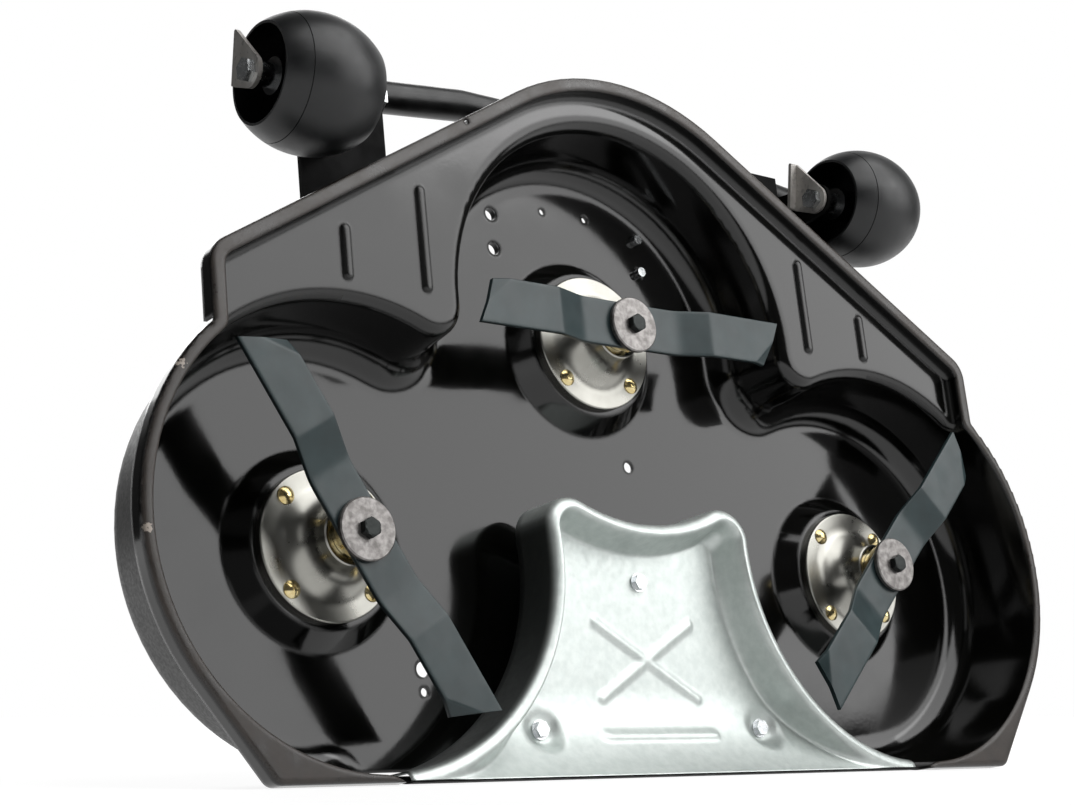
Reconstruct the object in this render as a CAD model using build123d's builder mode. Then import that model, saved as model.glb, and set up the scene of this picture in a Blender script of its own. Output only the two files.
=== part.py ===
from build123d import *
import math
import os

os.makedirs("parts", exist_ok=True)

# Three-blade mower deck standing on its rear edge, leaning back, underside to the front (-Y).
# Deck coordinates: u across, v forward along the deck, depth up into the deck from the lip plane.

# Standing pose
lean = 8.9

# Blade circles, which set the places of the spindles and the size of the pan
blade_length = 381.0
tip_gap = 11.46
chamber_clearance = 13.5
spindle_rise = 220.0
rear_margin = 6.0

# Sheet and rim
sheet = 3.0
hem_depth = 18.0
side_overlap = 11.0
front_overlap = 44.0
ear_overhang = 143.0
ear_radius = 28.0
ear_drop = 10.0
rear_overhang = 116.0
rear_corner_radius = 12.0
lip_width = 14.0
notch_radius = 5.0
fold_radius = 4.0
relief_gap = 7.0
lip_hole_radius = 3.0
lip_hole_inset = 4.5
lip_hole_reach = 78.0

# Pan, shelf and ribs
pan_depth = 102.0
pan_draft = 7.0
pan_edge_radius = 30.0
cusp_radius = 30.0
mouth_margin = 21.0
rear_slope = 12.0
ground_slack = 0.3
shelf_depth = 17.0
shelf_edge_radius = 7.0
lip_roll_radius = 3.0
roll_radius = 14.0
boss_height = 20.0
boss_top_radius = 73.0
boss_base_radius = 90.0
rib_width = 9.0
rib_height = 4.0
rib_round = 2.5
long_rib_inset = 83.5
long_rib_length = 101.0
short_rib_length = 51.0

# Plate holes, measured from the nearest spindle or chamber edge
foot_hole_inset = 111.0
foot_hole_reach = 91.5
foot_hole_pitch = 36.0
foot_hole_radius = 7.0
foot_bolt_radius = 5.0
small_hole_u = 27.5
small_hole_pitch = 31.0
small_hole_radius = 3.2
wash_hole_u = 50.0
wash_hole_reach = 116.0
wash_hole_radius = 5.5
stay_hole_inset = 106.0
stay_hole_drop = 101.0
stay_hole_radius = 7.0
stay_hole_pitch = 20.0
stay_pin_radius = 4.0

# Spindle housing, bearings and shaft
flange_radius = 68.0
flange_thickness = 7.0
flange_screw_offset = 40.4
nose_radius = 29.0
nose_depth = 40.0
nose_fillet = 20.0
barrel_radius = 32.0
barrel_end_depth = 120.0
housing_bore_radius = 20.0
bearing_radius = 23.5
bearing_width = 14.0
bearing_inset = 1.0
shaft_radius = 10.0
shaft_neck_radius = 8.0
shaft_neck_length = 12.0
running_clearance = 0.03
seat_clearance = 0.05
turning_gap = 0.5

# Blade, its washer, bolt and collar
blade_width = 46.0
blade_thickness = 5.0
blade_depth = 20.0
blade_drop = 12.0
blade_flat = 66.0
blade_joggle = 26.0
tip_slant = 22.0
front_blade_angle = 0.0
left_blade_angle = 121.0
right_blade_angle = 45.0
washer_radius = 27.5
washer_thickness = 6.0
blade_bolt_radius = 6.0
blade_bolt_length = 30.0
blade_bolt_flats = 19.0
blade_bolt_head = 7.0
collar_radius = 23.0
collar_step_radius = 19.0
collar_step_depth = 31.0

# Fasteners
screw_radius = 4.0
screw_head_radius = 8.0
screw_head_height = 4.5
screw_head_skirt = 1.0
nut_flats = 13.0
nut_height = 6.5
plug_head_flats = 13.0
plug_head_height = 6.0
plug_head_flange = 9.0
plug_head_flange_height = 1.5
foot_bolt_flats = 16.0
foot_bolt_head = 6.0
foot_bolt_end = 7.0

# Belt drive
pulley_radius = 70.0
pulley_width = 20.0
pulley_clear = 16.0
pulley_hub_radius = 13.0
groove_radius = 59.5
groove_half_floor = 5.6
groove_half_mouth = 7.6
belt_gap = 0.5
belt_width = 10.0
belt_height = 8.0
spindle_nut_flats = 24.0
spindle_nut_height = 9.0
idler_u = 70.0
idler_push = 8.0
idler_radius = 29.5
idler_width = 16.0
idler_pin_radius = 8.0
idler_neck_radius = 6.0
idler_post_radius = 12.0
idler_foot_radius = 20.0
idler_foot_height = 5.0
idler_nut_height = 7.0

# Mulching plug
plug_sheet = 2.0
plug_clearance = 10.0
plug_crest_depth = 9.0
plug_crest_slope = 0.05
plug_ridge = 22.0
plug_horn_radius = 20.0
plug_tray_horn_radius = 13.0
plug_crest_radius = 8.0
plug_tray_depth = 52.0
plug_tray_radius = 8.0
plug_pocket_radius = 13.0
plug_ramp_v = 66.0
plug_ramp_turn_v = 25.0
plug_ramp_angle = 43.0
plug_foot_gap = 0.5
plug_screw_drop = 22.5
plug_low_screw_u = 135.0
plug_low_screw_v = 48.0
plug_post_radius = 8.0
plug_rib_height = 2.2
plug_rib_width = 12.0
plug_cross_v = 111.0
plug_cross_length = 136.0
plug_cross_angle = 31.0
plug_bar_v = 41.0
plug_bar_length = 135.0
plug_bar_radius = 7.0
plug_bar_height = 3.0

# Support rollers
roller_outset = 26.0
roller_reach = 178.0
roller_depth = 16.4
roller_radius = 63.5
roller_mouth_radius = 46.0
roller_length = 100.7
roller_edge = 2.5
roller_wall = 4.0
roller_hub_radius = 17.0
roller_hub_length = 76.0
roller_web = 8.0
seam_inset = 20.0
seam_width = 0.8
seam_depth = 0.6
axle_radius = 11.0
axle_bolt_radius = 6.0
axle_bolt_flats = 19.0
axle_bolt_head = 7.5
cheek_gap = 9.0
cheek_thickness = 5.0
end_gap = 5.6
end_plate_thickness = 4.0
end_plate_nose = 15.0
end_plate_tail = 2.0
end_plate_reach_v = 46.0
end_plate_reach_depth = 20.0
end_plate_heel_depth = 30.0
end_flange = 8.0

# Carrying frame
tube_radius = 16.0
tube_wall = 2.5
tube_depth = 117.0
tube_reach = 71.0
tube_bend_u = 110.0
tube_bend_radius = 90.0
tube_end_inset = 6.0
tube_sweep = 6.2
rail_u = 118.0
rail_size = 30.0
rail_wall = 2.5
rail_rear_v = 60.0
rail_overrun = 60.0
foot_thickness = 6.0
foot_length = 76.0
foot_margin = 15.0
bracket_thickness = 5.0
bracket_inset = 133.0
bracket_width = 96.0
bracket_leg_drop = 108.0
bracket_top_drop = 11.0
bracket_foot_length = 30.0
cheek_half_width = 17.0
cheek_root = 51.0
lug_thickness = 8.0
lug_top_v = 110.0
lug_back_depth = 175.0
lug_bore_v = 66.0
lug_bore_depth = 152.0
lug_bore_radius = 8.1

# Places that follow from the blade circles
spindle_pitch = blade_length + tip_gap
spindle_half_span = math.sqrt(spindle_pitch**2 - spindle_rise**2)
chamber_radius = blade_length / 2 + chamber_clearance
side_spindle_v = chamber_radius + rear_margin
front_spindle_v = side_spindle_v + spindle_rise
rim_side_radius = chamber_radius + side_overlap
rim_front_radius = chamber_radius + front_overlap
ear_half_width = spindle_half_span + ear_overhang
ear_v = front_spindle_v - ear_drop
rear_half_width = spindle_half_span + rear_overhang
mouth_half_width = spindle_half_span - mouth_margin
long_rib_u = spindle_half_span - long_rib_inset
short_rib_u = spindle_half_span
rib_foot_v = front_spindle_v
foot_hole_u = chamber_radius - foot_hole_inset
foot_hole_v = front_spindle_v + chamber_radius - foot_hole_reach
small_hole_v = foot_hole_v + small_hole_pitch
wash_hole_v = front_spindle_v - wash_hole_reach
stay_hole_u = spindle_half_span - stay_hole_inset
stay_hole_v = side_spindle_v - stay_hole_drop
plug_reach = blade_length / 2 + plug_clearance
plug_screw_v = front_spindle_v - plug_reach - plug_ridge - plug_screw_drop
roller_u = spindle_half_span + roller_outset
roller_v = front_spindle_v + roller_reach
tube_v = roller_v + tube_reach
tube_half_length = roller_u - tube_end_inset
bracket_inner_u = roller_u - bracket_inset
bracket_outer_u = bracket_inner_u + bracket_width
bracket_leg_v = roller_v - bracket_leg_drop
bracket_top_v = tube_v - bracket_top_drop

# The lip plane of the leaning deck, its normal towards the ground side, with the footprint centred on Y
lean_sin = math.sin(math.radians(lean))
lean_cos = math.cos(math.radians(lean))
stand_y = -(tube_v * lean_sin + tube_depth * lean_cos + tube_radius) / 2
deck = Plane((0, stand_y, hem_depth * lean_sin), x_dir=(1, 0, 0), z_dir=(0, -lean_cos, lean_sin))
underside = Axis(deck.origin, deck.z_dir)
left_spindle = (-spindle_half_span, side_spindle_v)
front_spindle = (0, front_spindle_v)
right_spindle = (spindle_half_span, side_spindle_v)
spindles = {"left": left_spindle, "front": front_spindle, "right": right_spindle}

plate_back = pan_depth + sheet
boss_depth = pan_depth - boss_height
boss_back = boss_depth + sheet
flange_face = boss_depth - flange_thickness
blade_back = blade_depth + blade_thickness
low_bearing_depth = nose_depth + bearing_inset
high_bearing_depth = barrel_end_depth - bearing_inset - bearing_width
pulley_depth = barrel_end_depth + pulley_clear
belt_depth = pulley_depth + pulley_width / 2 - belt_width / 2
belt_radius = groove_radius + belt_gap
pulley_end = pulley_depth + pulley_width
idler_v = side_spindle_v - belt_radius + idler_radius + belt_gap - idler_push
flange_screws = [
    (u + a * flange_screw_offset, v + b * flange_screw_offset)
    for u, v in spindles.values()
    for a in (-1, 1)
    for b in (-1, 1)
]
plug_screws_at = [
    (0, plug_screw_v),
    (-plug_low_screw_u, plug_low_screw_v),
    (plug_low_screw_u, plug_low_screw_v),
]


def seat(u, v, depth=0.0, turn=0.0):
    """Plane parallel to the lip plane at a point and depth, turned about its normal."""
    return Plane(deck.location * Location((u, v, -depth), (0, 0, turn)))


def section(u, v):
    """Plane through a spindle axis: local x is radius, local y is minus depth."""
    return Plane(deck.location * Location((u, v, 0), (90, 0, 0)))


def side_plane(u):
    """Plane across the deck at u: local x is v, local y is minus depth, normal towards +u."""
    return Plane(seat(u, 0).origin, x_dir=deck.y_dir, z_dir=deck.x_dir)


def spindle_axis(u, v):
    return Axis(seat(u, v).origin, deck.z_dir)


def save(part, name):
    part.label = name
    export_step(part, f"parts/{name}.step")


def ring(u, v, inner, outer, near, far):
    """A plain ring about a spindle axis between two depths."""
    with BuildPart() as body:
        with BuildSketch(seat(u, v, far)):
            Circle(outer)
            Circle(inner, mode=Mode.SUBTRACT)
        extrude(amount=far - near)
    return body.part


def hex_bolt(u, v, flats, head, head_depth, shank, tip_depth):
    """Hex head seated at head_depth towards the ground side, with a plain shank up to tip_depth."""
    with BuildPart() as body:
        with BuildSketch(seat(u, v, head_depth)):
            RegularPolygon(flats / 2, 6, major_radius=False)
        extrude(amount=head)
        with BuildSketch(seat(u, v, head_depth)):
            Circle(shank)
        extrude(amount=head_depth - tip_depth)
    return body.part


def hex_nut(u, v, flats, hole, near, height):
    with BuildPart() as body:
        with BuildSketch(seat(u, v, near)):
            RegularPolygon(flats / 2, 6, major_radius=False)
            Circle(hole, mode=Mode.SUBTRACT)
        extrude(amount=-height)
    return body.part


# Deck shell


def rim_outline(inset):
    """Outer edge of the lip, made smaller by inset: front bow, ears, side rounds and rear corners."""
    with Locations(front_spindle):
        bow = Circle(rim_front_radius - inset, mode=Mode.PRIVATE)
    ear_u = ear_half_width - ear_radius
    with Locations((-ear_u, ear_v), (ear_u, ear_v)):
        ears = Circle(ear_radius - inset, mode=Mode.PRIVATE)
    make_hull(bow.edges() + ears.edges())
    with Locations((0, ear_v)):
        Rectangle(2 * (ear_half_width - inset), ear_v - side_spindle_v, align=(Align.CENTER, Align.MAX))
    corner_u = rear_half_width - rear_corner_radius
    with Locations((0, inset)):
        Rectangle(2 * corner_u, side_spindle_v - inset, align=(Align.CENTER, Align.MIN), mode=Mode.ADD)
    with Locations(left_spindle, right_spindle):
        Circle(rim_side_radius - inset)
    with Locations((-corner_u, rear_corner_radius), (corner_u, rear_corner_radius)):
        Circle(rear_corner_radius - inset)
    # straight side of each rear corner, tangent to the side round and to the corner's round
    over, down = corner_u - spindle_half_span, side_spindle_v - rear_corner_radius
    tilt = math.acos((rim_side_radius - rear_corner_radius) / math.hypot(over, down)) - math.atan2(down, over)
    side_touch = (
        spindle_half_span + (rim_side_radius - inset) * math.cos(tilt),
        side_spindle_v + (rim_side_radius - inset) * math.sin(tilt),
    )
    corner_touch = (
        corner_u + (rear_corner_radius - inset) * math.cos(tilt),
        rear_corner_radius + (rear_corner_radius - inset) * math.sin(tilt),
    )
    for side in (-1, 1):
        Polygon(
            (side * spindle_half_span, side_spindle_v),
            (side * side_touch[0], side_touch[1]),
            (side * corner_touch[0], corner_touch[1]),
            (side * corner_u, rear_corner_radius),
            align=None,
        )
    with Locations((0, inset)):
        Rectangle(3 * rear_half_width, rim_side_radius, align=(Align.CENTER, Align.MAX), mode=Mode.SUBTRACT)
    side_points = vertices().filter_by(lambda p: abs(abs(p.X) - ear_half_width + inset) < 0.01)
    notches = side_points.filter_by(lambda p: p.Y < ear_v - ear_radius)
    fillet(notches, notch_radius + inset)


def panel_outline(grow):
    """Edge of the shallow front panel inside the lip, made larger by grow."""
    with Locations(front_spindle):
        bow = Circle(rim_front_radius - lip_width + grow, mode=Mode.PRIVATE)
    ear_u = ear_half_width - ear_radius
    with Locations((-ear_u, ear_v), (ear_u, ear_v)):
        ears = Circle(ear_radius - lip_width + grow, mode=Mode.PRIVATE)
    make_hull(bow.edges() + ears.edges())
    panel_foot_v = side_spindle_v + chamber_radius / 2
    with Locations((0, ear_v)):
        Rectangle(
            2 * (ear_half_width - lip_width + grow),
            ear_v - panel_foot_v,
            align=(Align.CENTER, Align.MAX),
        )


def is_pan_corner(point):
    """True where two chamber rims cross or where a rim meets the mouth."""
    rims = [s for s in spindles.values() if abs(math.dist(s, (point.X, point.Y)) - chamber_radius) < 0.01]
    at_mouth = abs(abs(point.X) - mouth_half_width) < 0.01
    return len(rims) == 2 or (len(rims) == 1 and at_mouth)


def pan_outline(grow):
    """Three merged blade chambers with rounded cusps, open to the rear between the plug's sides."""
    with Locations(left_spindle, front_spindle, right_spindle):
        Circle(chamber_radius)
    Polygon(left_spindle, front_spindle, right_spindle, align=None)
    with Locations((0, side_spindle_v)):
        Rectangle(
            2 * mouth_half_width,
            side_spindle_v + pan_depth,
            align=(Align.CENTER, Align.MAX),
        )
    fillet(vertices().filter_by(is_pan_corner), cusp_radius)
    offset(amount=grow, kind=Kind.INTERSECTION)


def rear_cut(slope, start):
    """Side view of all behind the rear edge, and behind a line sloping forward from a start depth."""
    far = 2 * pan_depth
    reach = math.tan(math.radians(slope)) * (far - start)
    Polygon((0, 0), (-far, 0), (-far, -far), (reach, -far), (0, -start), align=None)


def hollow(grow):
    """Air inside the pan and the shallow panel, made larger by grow on every side but the mouth."""
    shelf = shelf_depth + grow
    with BuildPart() as pan_body:
        with BuildSketch(deck):
            pan_outline(grow)
        extrude(amount=-pan_depth - grow, taper=pan_draft)
        floor = pan_body.faces().sort_by(underside)[0]
        fillet(floor.edges(), pan_edge_radius + grow)
    with BuildPart() as body:
        with BuildSketch(deck) as panel:
            panel_outline(grow)
        extrude(amount=-shelf)
        floor = body.faces().sort_by(underside)[0]
        fillet(floor.edges(), shelf_edge_radius + grow)
        add(pan_body.part)
        wall = panel.sketch.face().outer_wire().moved(Location(deck.z_dir * -shelf))
        level = body.edges().filter_by_position(underside, -shelf - 0.01, -shelf + 0.01)
        inner = level.filter_by(lambda e: wall.distance_to(e @ 0.5) > lip_width)
        fillet(inner, roll_radius - grow)
        with Locations(*[seat(u, v, pan_depth + grow).location for u, v in spindles.values()]):
            Cone(
                boss_base_radius - grow,
                boss_top_radius - grow,
                boss_height,
                align=(Align.CENTER, Align.CENTER, Align.MIN),
                mode=Mode.SUBTRACT,
            )
    return body.part


inner_air = hollow(0)
outer_form = hollow(sheet)

with BuildPart() as deck_shell:
    with BuildSketch(deck):
        rim_outline(0)
    extrude(amount=-hem_depth)
    fillet(deck_shell.faces().sort_by(underside)[-1].edges(), fold_radius)
    with BuildSketch(seat(0, 0, hem_depth)):
        rim_outline(sheet)
    extrude(amount=hem_depth - sheet, mode=Mode.SUBTRACT)
    add(outer_form)
    add(inner_air, mode=Mode.SUBTRACT)
    # rolled inner edge of the lip along the panel
    with BuildSketch(deck, mode=Mode.PRIVATE) as panel:
        panel_outline(0)
    wall = panel.sketch.face().outer_wire()
    lip_edges = deck_shell.edges().filter_by_position(underside, -0.01, 0.01)
    fillet(lip_edges.filter_by(lambda e: wall.distance_to(e @ 0.5) < 0.01), lip_roll_radius)
    # rear opening, cut to a slope so that the plate clears the ground line
    with BuildSketch(side_plane(0)):
        rear_cut(rear_slope, plug_crest_depth)
    extrude(amount=mouth_half_width + sheet, both=True, mode=Mode.SUBTRACT)
    with BuildSketch(side_plane(0)):
        rear_cut(lean + ground_slack, hem_depth)
    extrude(amount=rear_half_width, both=True, mode=Mode.SUBTRACT)
    # stamped ribs on the front panel
    long_rib_v = rib_foot_v + long_rib_length / 2
    short_rib_v = rib_foot_v + short_rib_length / 2
    with BuildSketch(seat(0, 0, shelf_depth)):
        with Locations((-long_rib_u, long_rib_v, 0), (long_rib_u, long_rib_v, 0)):
            SlotOverall(long_rib_length, rib_width, rotation=90)
        with Locations((-short_rib_u, short_rib_v, 0), (short_rib_u, short_rib_v, 0)):
            SlotOverall(short_rib_length, rib_width, rotation=90)
    extrude(amount=rib_height)
    rib_depth = shelf_depth - rib_height
    crowns = deck_shell.faces().filter_by_position(underside, -rib_depth - 0.01, -rib_depth + 0.01)
    fillet(crowns.edges(), rib_round)
    # relief gaps in the hem at the notches below the ears
    notch_v = side_spindle_v + math.sqrt(rim_side_radius**2 - (ear_half_width - spindle_half_span) ** 2)
    with BuildSketch(seat(0, 0, hem_depth)):
        with Locations((-ear_half_width, notch_v), (ear_half_width, notch_v)):
            Rectangle(2 * (lip_width - sheet), relief_gap)
    extrude(amount=hem_depth - sheet, mode=Mode.SUBTRACT)
    # holes in the top plate and the lip
    with BuildSketch(seat(0, 0, plate_back)):
        with Locations(*spindles.values()):
            Circle(barrel_radius + seat_clearance)
        with Locations(*flange_screws, *plug_screws_at):
            Circle(screw_radius + seat_clearance)
        with Locations((-foot_hole_u, foot_hole_v)):
            with GridLocations(0, foot_hole_pitch, 1, 2):
                Circle(foot_hole_radius)
        with Locations((foot_hole_u, foot_hole_v)):
            with GridLocations(0, foot_hole_pitch, 1, 2):
                Circle(foot_bolt_radius + seat_clearance)
        with Locations((-small_hole_u, small_hole_v), (small_hole_u, small_hole_v)):
            Circle(small_hole_radius)
        with Locations((wash_hole_u, wash_hole_v)):
            Circle(wash_hole_radius)
        with Locations((-stay_hole_u, stay_hole_v), (stay_hole_u, stay_hole_v)):
            Circle(stay_hole_radius)
        stay_pin_v = stay_hole_v - stay_hole_pitch
        with Locations((-stay_hole_u, stay_pin_v), (stay_hole_u, stay_pin_v)):
            Circle(stay_pin_radius)
    extrude(amount=plate_back - boss_depth, mode=Mode.SUBTRACT)
    # small hole in the slanted front edge, between the bow and the left ear
    ear_u = ear_half_width - ear_radius
    edge_turn = math.acos((rim_front_radius - ear_radius) / math.hypot(ear_u, ear_drop))
    edge_turn = edge_turn - math.atan2(ear_drop, ear_u)
    with BuildSketch(seat(*front_spindle, 0, 180 - math.degrees(edge_turn))):
        with Locations((rim_front_radius - lip_hole_inset, lip_hole_reach)):
            Circle(lip_hole_radius)
    extrude(amount=-sheet - fold_radius, mode=Mode.SUBTRACT)
save(deck_shell.part, "deck_shell")

# Spindles: housing, bearings, shaft, collar, blade, washer, bolt and pulley

for name, (u, v) in spindles.items():
    with BuildPart() as housing:
        with BuildSketch(section(u, v)) as profile:
            with BuildLine():
                Polyline(
                    (housing_bore_radius, -nose_depth),
                    (nose_radius, -nose_depth),
                    (nose_radius, -flange_face),
                    (flange_radius, -flange_face),
                    (flange_radius, -boss_depth),
                    (barrel_radius, -boss_depth),
                    (barrel_radius, -barrel_end_depth),
                    (housing_bore_radius, -barrel_end_depth),
                    close=True,
                )
            make_face()
            neck = profile.vertices().sort_by_distance(Vertex(nose_radius, -flange_face, 0))[0]
            fillet(neck, nose_fillet)
            edge = profile.vertices().sort_by_distance(Vertex(flange_radius, -flange_face, 0))[0]
            fillet(edge, flange_thickness / 4)
        revolve(axis=spindle_axis(u, v))
        upper_pocket = barrel_end_depth - bearing_width - bearing_inset
        with BuildSketch(seat(u, v, nose_depth), seat(u, v, upper_pocket)):
            Circle(bearing_radius + seat_clearance)
        extrude(amount=-bearing_width - bearing_inset, mode=Mode.SUBTRACT)
        with BuildSketch(seat(u, v, boss_depth)):
            with GridLocations(2 * flange_screw_offset, 2 * flange_screw_offset, 2, 2):
                Circle(screw_radius + seat_clearance)
        extrude(amount=flange_thickness, mode=Mode.SUBTRACT)
    save(housing.part, f"spindle_housing_{name}")

    bearing_bore = shaft_radius + running_clearance
    low_end = low_bearing_depth + bearing_width
    lower_bearing = ring(u, v, bearing_bore, bearing_radius, low_bearing_depth, low_end)
    save(lower_bearing, f"lower_bearing_{name}")
    high_end = high_bearing_depth + bearing_width
    upper_bearing = ring(u, v, bearing_bore, bearing_radius, high_bearing_depth, high_end)
    save(upper_bearing, f"upper_bearing_{name}")

    with BuildPart() as shaft:
        with BuildSketch(section(u, v)):
            with BuildLine():
                Polyline(
                    (0, -blade_back - blade_bolt_length),
                    (blade_bolt_radius + seat_clearance, -blade_back - blade_bolt_length),
                    (blade_bolt_radius + seat_clearance, -blade_back),
                    (shaft_radius, -blade_back),
                    (shaft_radius, -pulley_end),
                    (shaft_neck_radius, -pulley_end),
                    (shaft_neck_radius, -pulley_end - shaft_neck_length),
                    (0, -pulley_end - shaft_neck_length),
                    close=True,
                )
            make_face()
        revolve(axis=spindle_axis(u, v))
    save(shaft.part, f"spindle_shaft_{name}")

    with BuildPart() as collar:
        with BuildSketch(section(u, v)):
            with BuildLine():
                Polyline(
                    (shaft_radius + seat_clearance, -blade_back),
                    (collar_radius, -blade_back),
                    (collar_radius, -collar_step_depth),
                    (collar_step_radius, -collar_step_depth),
                    (collar_step_radius, -low_bearing_depth + turning_gap),
                    (shaft_radius + seat_clearance, -low_bearing_depth + turning_gap),
                    close=True,
                )
            make_face()
        revolve(axis=spindle_axis(u, v))
    save(collar.part, f"blade_collar_{name}")

    angle = {"left": left_blade_angle, "front": front_blade_angle, "right": right_blade_angle}[name]
    with BuildPart() as blade:
        along = Plane(seat(u, v, 0, angle).location * Location((0, 0, 0), (90, 0, 0)))
        half = blade_length / 2
        wing = blade_flat + blade_joggle
        low = blade_depth - blade_drop
        with BuildSketch(along):
            with BuildLine():
                Polyline(
                    (-half, -low),
                    (-wing, -low),
                    (-blade_flat, -blade_depth),
                    (blade_flat, -blade_depth),
                    (wing, -low),
                    (half, -low),
                    (half, -low - blade_thickness),
                    (wing, -low - blade_thickness),
                    (blade_flat, -blade_back),
                    (-blade_flat, -blade_back),
                    (-wing, -low - blade_thickness),
                    (-half, -low - blade_thickness),
                    close=True,
                )
            make_face()
        extrude(amount=blade_width / 2, both=True)
        with BuildSketch(seat(u, v, blade_back, angle)):
            with BuildLine():
                Polyline(
                    (-half + tip_slant, blade_width / 2),
                    (half, blade_width / 2),
                    (half - tip_slant, -blade_width / 2),
                    (-half, -blade_width / 2),
                    close=True,
                )
            make_face()
            Circle(blade_bolt_radius + seat_clearance, mode=Mode.SUBTRACT)
        extrude(amount=blade_back, mode=Mode.INTERSECT)
    save(blade.part, f"blade_{name}")

    washer_face = blade_depth - washer_thickness
    with BuildPart() as washer:
        with BuildSketch(seat(u, v, blade_depth)):
            Circle(washer_radius)
            Circle(blade_bolt_radius + seat_clearance, mode=Mode.SUBTRACT)
        extrude(amount=washer_thickness)
        rims = washer.edges().filter_by(GeomType.CIRCLE).group_by(SortBy.RADIUS)[-1]
        chamfer(rims, washer_thickness / 5)
    save(washer.part, f"blade_washer_{name}")

    bolt_tip = blade_back + blade_bolt_length - turning_gap
    bolt = hex_bolt(u, v, blade_bolt_flats, blade_bolt_head, washer_face, blade_bolt_radius, bolt_tip)
    save(bolt, f"blade_bolt_{name}")

    with BuildPart() as pulley:
        mid = -pulley_depth - pulley_width / 2
        with BuildSketch(section(u, v)):
            with BuildLine():
                Polyline(
                    (shaft_radius + seat_clearance, -barrel_end_depth + bearing_inset - turning_gap),
                    (pulley_hub_radius, -barrel_end_depth + bearing_inset - turning_gap),
                    (pulley_hub_radius, -pulley_depth),
                    (pulley_radius, -pulley_depth),
                    (pulley_radius, mid + groove_half_mouth),
                    (groove_radius, mid + groove_half_floor),
                    (groove_radius, mid - groove_half_floor),
                    (pulley_radius, mid - groove_half_mouth),
                    (pulley_radius, -pulley_end),
                    (shaft_radius + seat_clearance, -pulley_end),
                    close=True,
                )
            make_face()
        revolve(axis=spindle_axis(u, v))
    save(pulley.part, f"spindle_pulley_{name}")

    nut = hex_nut(u, v, spindle_nut_flats, shaft_neck_radius + seat_clearance, pulley_end, spindle_nut_height)
    save(nut, f"spindle_nut_{name}")

with BuildPart() as housing_screws:
    for u, v in flange_screws:
        with BuildSketch(section(u, v)):
            with BuildLine():
                crown = (0, -flange_face + screw_head_height)
                skirt = (screw_head_radius, -flange_face + screw_head_skirt)
                TangentArc(crown, skirt, tangent=(1, 0))
                Polyline(
                    skirt,
                    (screw_head_radius, -flange_face),
                    (screw_radius, -flange_face),
                    (screw_radius, -boss_back - nut_height),
                    (0, -boss_back - nut_height),
                    crown,
                )
            make_face()
        revolve(axis=spindle_axis(u, v))
save(housing_screws.part, "housing_screws")

with BuildPart() as housing_nuts:
    with BuildSketch(seat(0, 0, boss_back)):
        with Locations(*flange_screws):
            RegularPolygon(nut_flats / 2, 6, major_radius=False)
            Circle(screw_radius + seat_clearance, mode=Mode.SUBTRACT)
    extrude(amount=-nut_height)
save(housing_nuts.part, "housing_nuts")

# Belt round the three pulleys and the idler, with the idler on its post


def belt_loop(spindle_radius, roller_radius_at_belt):
    """Taut loop round the spindle pulleys and the idler, which presses it outwards."""
    with Locations(left_spindle, front_spindle, right_spindle):
        rims = Circle(spindle_radius, mode=Mode.PRIVATE)
    with Locations((idler_u, idler_v)):
        press = Circle(roller_radius_at_belt, mode=Mode.PRIVATE)
    return make_hull(rims.edges() + press.edges(), mode=Mode.PRIVATE)


with BuildPart() as drive_belt:
    with BuildSketch(seat(0, 0, belt_depth)):
        add(belt_loop(belt_radius + belt_height, idler_radius + belt_gap + belt_height))
        add(belt_loop(belt_radius, idler_radius + belt_gap), mode=Mode.SUBTRACT)
    extrude(amount=-belt_width)
save(drive_belt.part, "drive_belt")

idler_near = belt_depth + belt_width / 2 - idler_width / 2
idler_far = idler_near + idler_width
idler = ring(idler_u, idler_v, idler_pin_radius + running_clearance, idler_radius, idler_near, idler_far)
save(idler, "idler_pulley")

with BuildPart() as idler_post:
    with BuildSketch(section(idler_u, idler_v)):
        with BuildLine():
            Polyline(
                (0, -plate_back),
                (idler_foot_radius, -plate_back),
                (idler_foot_radius, -plate_back - idler_foot_height),
                (idler_post_radius, -plate_back - idler_foot_height),
                (idler_post_radius, -idler_near + turning_gap),
                (idler_pin_radius, -idler_near + turning_gap),
                (idler_pin_radius, -idler_far - turning_gap),
                (idler_neck_radius, -idler_far - turning_gap),
                (idler_neck_radius, -idler_far - turning_gap - idler_nut_height),
                (0, -idler_far - turning_gap - idler_nut_height),
                close=True,
            )
        make_face()
    revolve(axis=spindle_axis(idler_u, idler_v))
save(idler_post.part, "idler_post")
idler_nut_hole = idler_neck_radius + seat_clearance
idler_nut_seat = idler_far + turning_gap
idler_nut = hex_nut(idler_u, idler_v, spindle_nut_flats, idler_nut_hole, idler_nut_seat, idler_nut_height)
save(idler_nut, "idler_nut")

# Mulching plug between the three blade circles


def plug_outline(inset, horn_radius):
    """Bell bounded by the three blade circles and the rear edge, its horns rounded."""
    reach = plug_reach + inset
    horn_v = (side_spindle_v + front_spindle_v) / 2
    Rectangle(2 * mouth_half_width, horn_v, align=(Align.CENTER, Align.MIN))
    with Locations(left_spindle, front_spindle, right_spindle):
        Circle(reach, mode=Mode.SUBTRACT)
    fillet(vertices().filter_by(lambda p: p.Y > side_spindle_v + plug_sheet), horn_radius)


def crest_depth(v, inset):
    """Depth of the plane that the ridge's crest lies in, nearest the ground at the rear edge."""
    return plug_crest_depth + inset + plug_crest_slope * v


def is_crest_edge(edge, inset):
    """True for the long edges of the ridge in the crest plane, not for its cut ends."""
    near, mid = (deck.to_local_coords(edge @ t) for t in (0.1, 0.5))
    level = all(abs(p.Z + crest_depth(p.Y, inset)) < 0.05 for p in (near, mid))
    return level and mid.Y > plug_sheet and abs(mid.X) < mouth_half_width - plug_sheet


ramp_sin = math.sin(math.radians(plug_ramp_angle))
ramp_cos = math.cos(math.radians(plug_ramp_angle))


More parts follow.
